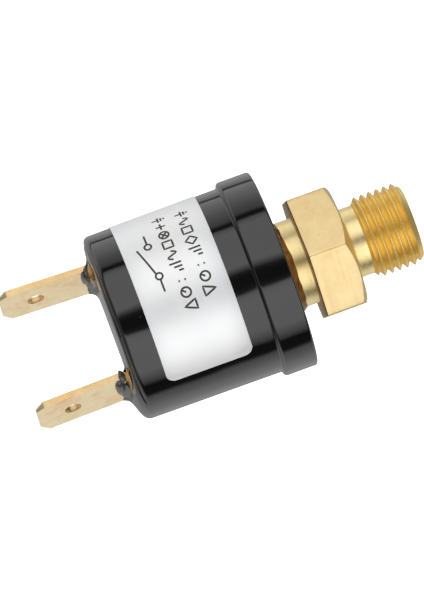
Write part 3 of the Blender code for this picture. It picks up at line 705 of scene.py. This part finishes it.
def build_roots(skirt_resin, material):
    """Black skirts, amber pools and set drops at the foot of both terminals. The pools' light gold
    is partly a painted reflection of the terminals.
    """
    pool_amber_and_painted_reflection = pool_resin_and_painted_reflection()
    skirt = (SKIRT_RUN, SKIRT_REACH, SKIRT_LEAST, skirt_resin, "black_potting")
    pool = (POOL_RUN, POOL_REACH, POOL_LEAST, pool_amber_and_painted_reflection, "amber_resin")
    for name, side, climb, phase, (run, reach, least, resin, slot) in (
            ("left_skirt", -1.0, (0.95, 1.85, 0.70, 0.45), 0.4, skirt),
            ("right_skirt", 1.0, (0.65, 1.15, 0.50, 0.35), 2.2, skirt),
            ("left_pool", -1.0, (0.20, 0.30, 1.02, 0.20), 1.9, pool),
            ("right_pool", 1.0, (0.20, 0.25, 0.80, 0.22), 3.1, pool)):
        piece = build_skirt(name, side, [part * MM for part in climb], run, reach, least, phase,
                            resin)
    # Height of the drop, distance along the terminal's width, half length, half height, swell
    face_drops = (("left_face_drop", -1.0, 1.80, -0.9, 1.75, 0.62, 0.52, 0.6),
                  ("right_face_drop", 1.0, 1.16, -1.4, 1.60, 0.52, 0.46, 2.4))
    for name, side, rise, along, length, height, swell, phase in face_drops:
        level = HOUSING_HIGH + rise * MM
        face = side * TAB_X - TAB_THICKNESS / 2.0 + lean(side, level)
        build_drop(name, (face, along * MM, level), (0, 1, 0), (-1, 0, 0),
                   (length * MM, height * MM), swell * MM, phase, material)
    edge_drops = (("left_edge_drop", -1.0, 1.25, 0.0, (0, -1, 0), (0.60, 0.34), 0.26),
                  ("right_edge_drop", 1.0, 0.70, 0.0, (0, -1, 0), (0.30, 0.24), 0.22),
                  ("left_corner_drop", -1.0, 1.30, -0.4, (-0.6, -0.8, 0), (0.55, 0.40), 0.30),
                  ("right_corner_drop", 1.0, 0.85, -0.4, (-0.6, -0.8, 0), (0.48, 0.30), 0.26))
    for name, side, rise, inward, outward, size, swell in edge_drops:
        level = HOUSING_HIGH + rise * MM
        across = (-outward[1], outward[0], 0.0)
        build_drop(name, (side * TAB_X + inward * MM + lean(side, level), -TAB_WIDTH / 2.0, level),
                   across, outward, (size[0] * MM, size[1] * MM), swell * MM, 1.3 * side + rise,
                   material)


# -------- label

def label_point(along, height, lift):
    """A point on the wrapped label, from its length along the band and its height."""
    azimuth = LABEL_START + along / BODY_RADIUS_LOW
    return polar(body_radius(height) + LABEL_LIFT + lift, azimuth, height)


def build_label():
    """Foil band with round corners, wrapped round the housing."""
    corner_steps = 8
    middle_steps = 72
    stations = []
    for step in range(corner_steps):
        angle = math.radians(90.0 * step / corner_steps)
        stations.append((LABEL_CORNER * (1 - math.cos(angle)),
                         LABEL_CORNER * (1 - math.sin(angle))))
    span = LABEL_LENGTH - 2 * LABEL_CORNER
    flat = [(LABEL_CORNER + span * step / middle_steps, 0.0) for step in range(middle_steps + 1)]
    ends = [(LABEL_LENGTH - along, inset) for along, inset in reversed(stations)]
    low = LABEL_MIN.z
    high = LABEL_MAX.z
    bm = bmesh.new()
    rows = []
    edge = 0.03 * MM
    for along, inset in stations + flat + ends:
        bottom = low + inset
        top = high - inset
        ring = [(bottom, 0.0), (bottom, LABEL_THICKNESS - edge), (bottom + edge, LABEL_THICKNESS)]
        ring += [(bottom + (top - bottom) * share, LABEL_THICKNESS) for share in (0.25, 0.5, 0.75)]
        ring += [(top - edge, LABEL_THICKNESS), (top, LABEL_THICKNESS - edge), (top, 0.0)]
        rows.append([bm.verts.new(label_point(along, height, lift)) for height, lift in ring])
    capped_grid(bm, rows)
    foil = make_object("label_foil", bm, [label_foil()], 50.0)
    stand_for(foil, "label")


def stroke(bm, points, closed=False):
    """Lays a ribbon of ink along a line of (along, height) points on the label."""
    fine = []
    count = len(points)
    for index in range(count if closed else count - 1):
        start = Vector(points[index])
        end = Vector(points[(index + 1) % count])
        pieces = max(1, math.ceil((end - start).length / INK_STEP))
        fine += [start.lerp(end, piece / pieces) for piece in range(pieces)]
    if not closed:
        fine.append(Vector(points[-1]))
    rows = []
    total = len(fine)
    for index, point in enumerate(fine):
        before = fine[index - 1] if closed or index > 0 else point
        after = fine[(index + 1) % total] if closed or index < total - 1 else point
        heading = (after - before).normalized()
        side = Vector((-heading.y, heading.x)) * INK_STROKE / 2.0
        base = LABEL_THICKNESS + INK_LIFT
        corners = ((point + side, base), (point + side, base + INK_THICKNESS),
                   (point - side, base + INK_THICKNESS), (point - side, base))
        rows.append([bm.verts.new(label_point(*spot, lift)) for spot, lift in corners])
    if closed:
        grid_faces(bm, rows)
    else:
        capped_grid(bm, rows)


def circle(along, height, radius, steps=16):
    return [(along + radius * math.cos(FULL_TURN * step / steps),
             height + radius * math.sin(FULL_TURN * step / steps)) for step in range(steps)]


def glyph_strokes(kind):
    """Lines of a plain technical mark in a box 0.8 wide and 1 high, as (points, closed)."""
    ring = circle(0.4, 0.5, 0.4)
    wave = [(0.1 * step, 0.5 + 0.4 * math.sin(FULL_TURN * step / 8.0)) for step in range(9)]
    marks = {
        "rise": [([(0.0, 0.0), (0.8, 0.0), (0.4, 1.0)], True)],
        "fall": [([(0.0, 1.0), (0.4, 0.0), (0.8, 1.0)], True)],
        "gauge": [(ring, True), ([(0.4, 0.5), (0.62, 0.76)], False)],
        "lamp": [(ring, True), ([(0.12, 0.22), (0.68, 0.78)], False),
                 ([(0.12, 0.78), (0.68, 0.22)], False)],
        "colon": [([(0.3, 0.15), (0.3, 0.28)], False), ([(0.3, 0.65), (0.3, 0.78)], False)],
        "bars": [([(0.05, 0.0), (0.05, 0.4)], False), ([(0.4, 0.0), (0.4, 0.7)], False),
                 ([(0.75, 0.0), (0.75, 1.0)], False)],
        "wave": [(wave, False)],
        "square": [([(0.05, 0.1), (0.75, 0.1), (0.75, 0.9), (0.05, 0.9)], True)],
        "diamond": [([(0.4, 0.0), (0.8, 0.5), (0.4, 1.0), (0.0, 0.5)], True)],
        "cross": [([(0.4, 0.1), (0.4, 0.9)], False), ([(0.0, 0.5), (0.8, 0.5)], False)],
        "earth": [([(0.4, 1.0), (0.4, 0.5)], False), ([(0.0, 0.5), (0.8, 0.5)], False),
                  ([(0.15, 0.25), (0.65, 0.25)], False), ([(0.3, 0.0), (0.5, 0.0)], False)],
    }
    return marks[kind]


def draw_row(bm, kinds, along, height, pitch):
    for index, kind in enumerate(kinds):
        start = along + pitch * index
        for points, closed in glyph_strokes(kind):
            stroke(bm, [(start + MARK_SIZE * x, height + MARK_SIZE * y) for x, y in points], closed)


def draw_contact(bm, along, height):
    """The plain drawing of an open switch: two leads, two dots and a lever."""
    dot = CONTACT_DOT
    first = along + 0.24 * CONTACT_LENGTH
    second = along + 0.76 * CONTACT_LENGTH
    stroke(bm, [(along, height), (first - dot, height)])
    stroke(bm, circle(first, height, dot), closed=True)
    stroke(bm, [(first + 0.8 * dot, height + 0.6 * dot), (second, height + CONTACT_LIFT)])
    stroke(bm, circle(second, height, dot), closed=True)
    stroke(bm, [(second + dot, height), (along + CONTACT_LENGTH, height)])


def build_print():
    """Generic marks in three rows, where a label of this kind has its print."""
    def from_azimuth(degrees):
        return (math.radians(degrees) - LABEL_START) * BODY_RADIUS_LOW

    bm = bmesh.new()
    draw_contact(bm, from_azimuth(CONTACT_AZIMUTH), LABEL_MAX.z - CONTACT_DROP)
    for kinds, azimuth, drop, pitch in MARK_ROWS:
        draw_row(bm, kinds, from_azimuth(azimuth), LABEL_MAX.z - drop, pitch)
    ink = make_object("label_print", bm, [label_ink()])
    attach(ink, "root")


# -------- port fitting

def fitting_azimuths():
    """Column azimuths, crowded near the hexagon's corners."""
    offsets = [0.0, 0.4, 0.8, 1.3, 2.0, 3.0, 4.5, 7.0, 10.5, 14.0, 18.0, 22.0, 26.0, 30.0]
    sector = offsets + [60.0 - offset for offset in reversed(offsets[1:-1])]
    return [math.radians(60.0 * index + offset) for index in range(6) for offset in sector]


def hex_radius(turned):
    """Distance from the axis to the hexagon's side, with its corners slightly broken."""
    within = turned % math.radians(60.0)
    near = math.cos(within - math.radians(30.0))
    beside = max(0.0, math.cos(math.radians(90.0) - within), math.cos(within + math.radians(30.0)))
    power = HEX_CORNER_SHARPNESS
    return HEX_HALF_FLATS / (near ** power + beside ** power) ** (1.0 / power)


def thread_profile(share):
    """Radius across one pitch: straight flanks between a round root and a round crest."""
    high = THREAD_CREST_RADIUS
    low = high - THREAD_DEPTH
    from_crest = abs((share % 1.0) - 0.5) * THREAD_PITCH
    slope = high - THREAD_DEPTH / 2.0 + (THREAD_PITCH / 4.0 - from_crest) / THREAD_FLANK
    slope = high - soft_floor(high - slope, THREAD_ROUNDING)
    return low + soft_floor(slope - low, THREAD_ROUNDING)


def soft_floor(value, softness):
    """Keeps a value above zero, easing in over the softness."""
    return 0.5 * (value + math.sqrt(value * value + softness * softness)) - 0.12 * softness


def thread_rows(turn, rows_per_pitch):
    """Thread points in one column, as {row: (radius, height)}."""
    margin = 0.02 * MM
    rows = {}
    for row in range(-2 * rows_per_pitch, int(rows_per_pitch * RELIEF_LOW / THREAD_PITCH) + 2):
        share = row / rows_per_pitch
        height = THREAD_PITCH * (share + turn)
        if margin < height < RELIEF_LOW - margin:
            lead_in = THREAD_END_RADIUS + THREAD_LEAD_SLOPE * height
            run_out = RELIEF_RADIUS + 1.2 * (RELIEF_LOW - height)
            rows[row] = (min(thread_profile(share), lead_in, run_out), height)
    return rows


def fitting_outline(turned):
    """Closed outline of one column above the thread, down the bore and back to the end face."""
    side = hex_radius(turned)
    chamfer_high = HEX_LOW + (side - HEX_CHAMFER_RADIUS) * HEX_CHAMFER_SLOPE
    top = BASE_FLANGE_HIGH
    fillet = 0.5 * MM
    points = [(RELIEF_RADIUS, RELIEF_LOW), (RELIEF_RADIUS, HEX_LOW - fillet)]
    points += arc(RELIEF_RADIUS + fillet, HEX_LOW - fillet, fillet, 180, 90, 5)[1:]
    middle = [(HEX_CHAMFER_RADIUS, HEX_LOW), (side, chamfer_high), (side, HEX_HIGH - HEX_TOP_BREAK),
              (side - HEX_TOP_BREAK, HEX_HIGH), (NECK_RADIUS, HEX_HIGH)]
    points += soften([points[-1]] + middle + [(NECK_RADIUS, HEX_HIGH + MM)], 0.05 * MM)[4:-4]
    points += [(NECK_RADIUS, HEX_HIGH + MM), (NECK_RADIUS, BASE_FLANGE_LOW),
               (BASE_FLANGE_RADIUS, BASE_FLANGE_LOW), (BASE_FLANGE_RADIUS, top),
               (GROOVE_OUTER, top), (GROOVE_OUTER, top - GROOVE_DEPTH),
               (GROOVE_INNER, top - GROOVE_DEPTH), (GROOVE_INNER, top), (POCKET_RADIUS, top),
               (POCKET_RADIUS, top - POCKET_DEPTH), (BORE_RADIUS, top - POCKET_DEPTH),
               (BORE_RADIUS, 0.5 * MM), (BORE_RADIUS + BORE_MOUTH - 0.1 * MM, 0.04 * MM),
               (BORE_RADIUS + BORE_MOUTH, 0.0),
               (THREAD_END_RADIUS - 0.1 * MM, 0.0), (THREAD_END_RADIUS, 0.03 * MM)]
    return points


def fitting_mesh(rows_per_pitch=16):
    bm = bmesh.new()
    columns = []
    for turned in fitting_azimuths():
        azimuth = HEX_VERTEX_AZIMUTH + turned
        fixed = [bm.verts.new(polar(r, azimuth, z)) for r, z in fitting_outline(turned)]
        thread = thread_rows(turned / FULL_TURN + THREAD_START_TURN, rows_per_pitch)
        rows = {row: bm.verts.new(polar(r, azimuth, z)) for row, (r, z) in thread.items()}
        columns.append((fixed, rows))
    for index, (fixed, rows) in enumerate(columns):
        next_fixed, next_rows = columns[(index + 1) % len(columns)]
        if index + 1 == len(columns):
            # One full turn later, each thread row has climbed by one pitch
            next_rows = {row - rows_per_pitch: vert for row, vert in next_rows.items()}
        for point in range(len(fixed) - 1):
            bm.faces.new((fixed[point], next_fixed[point],
                          next_fixed[point + 1], fixed[point + 1]))
        shared = sorted(set(rows) & set(next_rows))
        for row, following in zip(shared, shared[1:]):
            bm.faces.new((rows[row], next_rows[row], next_rows[following], rows[following]))
        born = [next_rows[row] for row in sorted(next_rows) if row < shared[0]]
        ended = [rows[row] for row in sorted(rows, reverse=True) if row > shared[-1]]
        bm.faces.new([fixed[-1], next_fixed[-1], *born, next_rows[shared[0]], rows[shared[0]]])
        bm.faces.new([rows[shared[-1]], next_rows[shared[-1]], next_fixed[0], fixed[0], *ended])
    for face in bm.faces:
        height = face.calc_center_median().z
        if height < RELIEF_LOW:
            face.material_index = 0
        elif HEX_LOW - 0.01 * MM < height < HEX_HIGH + 0.01 * MM:
            face.material_index = 1
        else:
            face.material_index = 2
    return bm


def build_fitting():
    """Thread, hexagon and neck in one piece, each with its own tone of brass."""
    thread = turned_brass("thread_brass", colour(0.96, 0.735, 0.29), colour(0.89, 0.64, 0.20),
                          0.40, 1.0, 0.6)
    hexagon = turned_brass("hexagon_brass", colour(0.93, 0.735, 0.40), colour(0.84, 0.625, 0.30),
                           0.34, 0.6, 1.3)
    neck = turned_brass("neck_brass", colour(0.97, 0.81, 0.43), colour(0.93, 0.72, 0.32),
                        0.34, 1.2, 0.6)
    body = make_object("port_fitting_fine", fitting_mesh(), [thread, hexagon, neck], 42.0)
    stand_for(body, "pressure_port_fitting")


# -------- terminals

def prism(outline, direction, low, high):
    """A flat outline extruded along X, Y or Z."""
    bm = bmesh.new()
    ends = []
    for level in (low, high):
        places = {"X": lambda a, b: (level, a, b), "Y": lambda a, b: (a, level, b),
                  "Z": lambda a, b: (a, b, level)}
        ends.append([bm.verts.new(places[direction](a, b)) for a, b in outline])
    capped_grid(bm, ends)
    return bm


def tab_side_outline(side, tip_high):
    """Foot, bend, leaning tab and thinned tip in the XZ plane."""
    outer = TAB_X + TAB_THICKNESS / 2.0
    inner = TAB_X - TAB_THICKNESS / 2.0
    half_tip = TAB_TIP_THICKNESS / 2.0
    outline = [(FOOT_INNER_X, FOOT_LOW)]
    outline += arc(outer - TAB_BEND, FOOT_LOW + TAB_BEND, TAB_BEND, -90, 0, 5)
    outline += [(outer, HOUSING_HIGH), (outer, tip_high - TAB_TIP_BEVEL),
                (TAB_X + half_tip, tip_high), (TAB_X - half_tip, tip_high),
                (inner, tip_high - TAB_TIP_BEVEL), (inner, HOUSING_HIGH),
                (inner, FOOT_LOW + TAB_THICKNESS), (FOOT_INNER_X, FOOT_LOW + TAB_THICKNESS)]
    return [(side * x + lean(side, z), z) for x, z in outline]


def tab_front_outline(tip_high):
    """Narrow foot, full width and chamfered tip in the YZ plane."""
    half = TAB_WIDTH / 2.0
    foot = FOOT_HALF_WIDTH
    widens = FOOT_LOW + FOOT_RISE
    low = FOOT_LOW - MM
    high = tip_high + MM
    tip = half - TAB_CORNER - MM
    right = [(foot, low), (foot, widens), (half, widens), (half, tip_high - TAB_CORNER),
             (tip, high)]
    return right + [(-y, z) for y, z in reversed(right)]


def cut_with(obj, tool_mesh, operation):
    """Applies a Boolean at once and removes its tool."""
    tool = make_object("tool", tool_mesh, [])
    modifier = obj.modifiers.new("cut", "BOOLEAN")
    modifier.operation = operation
    modifier.solver = "EXACT"
    modifier.object = tool
    bake_modifiers(obj)
    bpy.data.objects.remove(tool, do_unlink=True)


def bake_modifiers(obj):
    graph = bpy.context.evaluated_depsgraph_get()
    result = bpy.data.meshes.new_from_object(obj.evaluated_get(graph))
    obj.modifiers.clear()
    obj.data = result


def build_tab(name, node, side, tip_high, materials):
    half = TAB_WIDTH / 2.0
    blank = prism(tab_side_outline(side, tip_high), "Y", -half - MM, half + MM)
    tab = make_object(name, blank, materials)
    reach = sorted((side * (FOOT_INNER_X - MM), side * (TAB_X + 2 * MM)))
    cut_with(tab, prism(tab_front_outline(tip_high), "X", *reach), "INTERSECT")
    hole = circle(0.0, tip_high - TAB_HOLE_DROP, TAB_HOLE_RADIUS, 40)
    across = sorted((side * (TAB_X - MM), side * (TAB_X + 2 * MM)))
    cut_with(tab, prism(hole, "X", *across), "DIFFERENCE")
    rivet = circle(side * EYELET_X, 0.0, EYELET_HOLE_RADIUS, 24)
    cut_with(tab, prism(rivet, "Z", FOOT_LOW - MM, FOOT_LOW + 2 * MM), "DIFFERENCE")
    bevel = tab.modifiers.new("edges", "BEVEL")
    bevel.width = TAB_EDGE
    bevel.segments = 3
    bevel.limit_method = "ANGLE"
    bevel.angle_limit = math.radians(25.0)
    bake_modifiers(tab)
    tab.data.shade_smooth()
    tab.data.set_sharp_from_angle(angle=math.radians(50.0))
    flat = tab.modifiers.new("flat faces", "WEIGHTED_NORMAL")
    flat.keep_sharp = True
    flat.weight = 100
    bake_modifiers(tab)
    for face in tab.data.polygons:
        face.material_index = 1 if abs(face.normal.y) > 0.8 else 0
    stand_for(tab, node)


# -------- pieces inside

def build_snap_disc(material):
    """Dished spring disc, low in the middle, built as a fixed shape. In the real switch its middle
    rises as the pin travels.
    """
    rings = 14
    reach = DISC_MAX.x
    thickness = DISC_MAX.z - DISC_MIN.z - DISC_DISH
    top = []
    for ring in range(rings):
        share = ring / rings
        top.append((reach * share, DISC_MAX.z - DISC_DISH * (1.0 - share * share)))
    top.append((reach - DISC_EDGE, DISC_MAX.z))
    bottom = [(r, z - thickness) for r, z in reversed(top)]
    rim = [(reach, DISC_MAX.z - DISC_EDGE), (reach, DISC_MAX.z - thickness + DISC_EDGE)]
    outline = top + rim + bottom
    bm = turned_mesh(lambda azimuth: outline, 72)
    bmesh.ops.remove_doubles(bm, verts=bm.verts[:], dist=0.0001 * MM)
    disc = make_object("snap_disc_spring", bm, [material])
    stand_for(disc, "snap_disc")
    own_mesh(disc)


def dress_inner_pieces():
    """Gives each CAD piece that stays inside its own material. Returns the spring steel."""
    # Material, its maker, light and dark tone, roughness, and the CAD nodes that wear it
    finishes = (
        ("spring_steel_sheet", plain_metal, (0.62, 0.62, 0.62), (0.48, 0.48, 0.49), 0.30,
         ("pressure_button", "disc_seat_ring")),
        ("can_aluminium_drawn", plain_metal, (0.80, 0.81, 0.82), (0.68, 0.69, 0.70), 0.34,
         ("crimp_can",)),
        ("blade_copper_strip", plain_metal, (0.88, 0.52, 0.30), (0.74, 0.38, 0.20), 0.28,
         ("contact_blade",)),
        ("contact_silver_rivet", plain_metal, (0.90, 0.89, 0.86), (0.78, 0.77, 0.74), 0.22,
         ("moving_contact", "fixed_contact")),
        ("inner_brass_strip", plain_metal, (0.90, 0.70, 0.38), (0.78, 0.56, 0.27), 0.30,
         ("fixed_contact_plate", "left_eyelet", "right_eyelet")),
        ("brown_phenolic_flow", plain_moulding, (0.14, 0.052, 0.022), (0.070, 0.024, 0.010), 0.45,
         ("pin_guide", "switch_base")),
        ("white_ceramic_body", plain_moulding, (0.88, 0.87, 0.83), (0.78, 0.77, 0.73), 0.40,
         ("push_pin",)),
        ("amber_film_sheet", plain_moulding, (0.62, 0.31, 0.06), (0.48, 0.21, 0.03), 0.25,
         ("diaphragm",)),
        ("black_rubber_ring", plain_moulding, (0.030, 0.030, 0.031), (0.016, 0.016, 0.017), 0.60,
         ("port_o_ring",)),
    )
    made = []
    for name, maker, light, dark, roughness, nodes in finishes:
        made.append(maker(name, colour(*light), colour(*dark), roughness))
        for node in nodes:
            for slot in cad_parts[node].material_slots:
                slot.material = made[-1]
    return made[0]


# -------- studio

# Brightness of the studio walls round the object, by azimuth from the view direction.
# Two long soft boxes stand in front, with dark gaps between them and at the sides.
WALL_LIGHT = [
    (-180, 0.50), (-166, 0.62), (-150, 1.02), (-125, 1.20), (-105, 0.85),
    (-98, 0.06), (-83, 0.04), (-77, 0.75), (-70, 1.30), (-62, 1.85), (-22, 1.95),
    (-15, 1.70), (-11, 0.15), (-5, 0.05), (5, 0.05), (10, 0.15), (14, 0.80), (19, 1.75),
    (64, 1.70), (70, 1.1), (72, 0.08), (76, 0.08), (80, 0.70), (90, 1.0),
    (105, 1.40), (128, 1.55), (131, 0.15), (133, 0.15), (136, 0.95), (152, 1.0), (166, 0.62),
    (180, 0.50),
]
WALL_PEAK = 2.0
WALL_STRENGTH = 0.70
CEILING_LIGHT = 0.36
CEILING_START = 0.62
CEILING_FULL = 0.92
BACKDROP_LIGHT = 1.05
FLOOR_SIZE = 4.0
KEY_PLACE = (-0.25, -0.35, 0.75)
KEY_SIZE = 0.5
KEY_POWER = 1.6


def build_world():
    world = bpy.data.worlds.new("studio")
    bpy.context.scene.world = world
    world.use_nodes = True
    tree = world.node_tree
    tree.nodes.clear()

    def node(kind, **settings):
        made = tree.nodes.new(kind)
        for key, value in settings.items():
            setattr(made, key, value)
        return made

    def feed(value, socket):
        if isinstance(value, bpy.types.NodeSocket):
            tree.links.new(value, socket)
        else:
            socket.default_value = value

    def calc(operation, *values):
        made = node("ShaderNodeMath", operation=operation)
        for index, value in enumerate(values):
            feed(value, made.inputs[index])
        return made.outputs[0]

    def background(strength):
        made = node("ShaderNodeBackground")
        made.inputs["Color"].default_value = WHITE
        feed(strength, made.inputs["Strength"])
        return made.outputs[0]

    split = node("ShaderNodeSeparateXYZ")
    feed(node("ShaderNodeTexCoord").outputs["Generated"], split.inputs[0])
    heading = calc("ARCTAN2", split.outputs["Y"], split.outputs["X"])
    turned = calc("SUBTRACT", heading, VIEW_AZIMUTH - FULL_TURN)
    position = calc("WRAP", calc("DIVIDE", turned, FULL_TURN), 0.5, -0.5)
    ramp = node("ShaderNodeValToRGB")
    feed(calc("ADD", position, 0.5), ramp.inputs["Fac"])
    elements = ramp.color_ramp.elements
    for index, (degrees, light) in enumerate(WALL_LIGHT):
        place = (degrees + 180.0) / 360.0
        stop = elements[index] if index < 2 else elements.new(place)
        stop.position = place
        stop.color = (light / WALL_PEAK, light / WALL_PEAK, light / WALL_PEAK, 1.0)
    wall = calc("MULTIPLY", ramp.outputs["Color"], WALL_PEAK)
    steep = node("ShaderNodeMapRange", interpolation_type="SMOOTHSTEP")
    feed(calc("ABSOLUTE", split.outputs["Z"]), steep.inputs["Value"])
    feed(CEILING_START, steep.inputs["From Min"])
    feed(CEILING_FULL, steep.inputs["From Max"])
    share = steep.outputs["Result"]
    blend = calc("ADD", calc("MULTIPLY", wall, calc("SUBTRACT", 1.0, share)),
                 calc("MULTIPLY", share, CEILING_LIGHT))
    switch = node("ShaderNodeMixShader")
    feed(node("ShaderNodeLightPath").outputs["Is Camera Ray"], switch.inputs[0])
    feed(background(calc("MULTIPLY", blend, WALL_STRENGTH)), switch.inputs[1])
    feed(background(BACKDROP_LIGHT), switch.inputs[2])
    feed(switch.outputs[0], node("ShaderNodeOutputWorld").inputs["Surface"])


def build_floor():
    bpy.ops.mesh.primitive_plane_add(size=FLOOR_SIZE, location=(0.0, 0.0, -0.1 * MM))
    floor = bpy.context.object
    floor.name = "studio_floor"
    paper = Nodes("studio_floor_paper").surface(
        Base_Color=colour(0.85, 0.85, 0.85), Roughness=1.0, Specular_IOR_Level=0.0,
        Emission_Color=WHITE, Emission_Strength=1.0)
    floor.data.materials.append(paper)
    floor.visible_glossy = False
    floor.visible_shadow = False
    floor.visible_diffuse = False


def build_key_light():
    light = bpy.data.lights.new("key_softbox", "AREA")
    light.shape = "RECTANGLE"
    light.size = KEY_SIZE
    light.size_y = KEY_SIZE
    light.energy = KEY_POWER
    lamp = bpy.data.objects.new("key_softbox", light)
    bpy.context.scene.collection.objects.link(lamp)
    lamp.location = KEY_PLACE
    aim = Vector((0.0, 0.0, AXIS_MIDDLE)) - lamp.location
    lamp.rotation_euler = aim.to_track_quat("-Z", "Y").to_euler()
    lamp.visible_glossy = False


def build_camera():
    """A long lens whose roll lays the switch on a slant, port to the right."""
    back = Vector(polar(math.cos(VIEW_ELEVATION), VIEW_AZIMUTH, math.sin(VIEW_ELEVATION)))
    across = Vector((-math.sin(VIEW_AZIMUTH), math.cos(VIEW_AZIMUTH), 0.0))
    upward = back.cross(across)
    right = across * math.cos(VIEW_ROLL) - upward * math.sin(VIEW_ROLL)
    above = back.cross(right)
    distance = LENS / SENSOR * IMAGE_LONG_SIDE / PIXELS_PER_METRE
    target = Vector((0.0, 0.0, VIEW_HEIGHT)) - across * VIEW_DROP
    data = bpy.data.cameras.new("camera")
    data.lens = LENS
    data.sensor_width = SENSOR
    data.clip_start = 0.01
    data.clip_end = 10.0
    camera = bpy.data.objects.new("camera", data)
    bpy.context.scene.collection.objects.link(camera)
    place = Matrix((right, above, back)).transposed().to_4x4()
    place.translation = target + back * distance
    camera.matrix_world = place
    bpy.context.scene.camera = camera


def main():
    bpy.context.scene.view_settings.view_transform = "Standard"
    build_housing()
    build_sealant()
    resin = glossy_black("black_potting_gloss", 2.2, 220.0, 0.03, 0.004)
    build_potting(resin)
    # The drops wear the black resin at tone 0.045, far lighter than the pad's 0.004: painted sheen
    # standing in for their grey highlights.
    build_roots(resin, glossy_black("black_drop_painted_sheen", 2.2, 420.0, 0.12, 0.045))
    build_label()
    build_print()
    build_fitting()
    faces = tab_brass("tab_brass_strip", colour(0.93, 0.73, 0.43), colour(1.0, 0.85, 0.57))
    edges = tab_brass("tab_brass_sheared_edge", colour(0.68, 0.47, 0.21), colour(0.84, 0.64, 0.34))
    build_tab("left_tab_fine", "left_terminal", -1.0, LEFT_TAB_TIP, [faces, edges])
    build_tab("right_tab_fine", "right_terminal", 1.0, RIGHT_TAB_TIP, [faces, edges])
    build_snap_disc(dress_inner_pieces())
    build_world()
    build_floor()
    build_key_light()
    build_camera()


main()
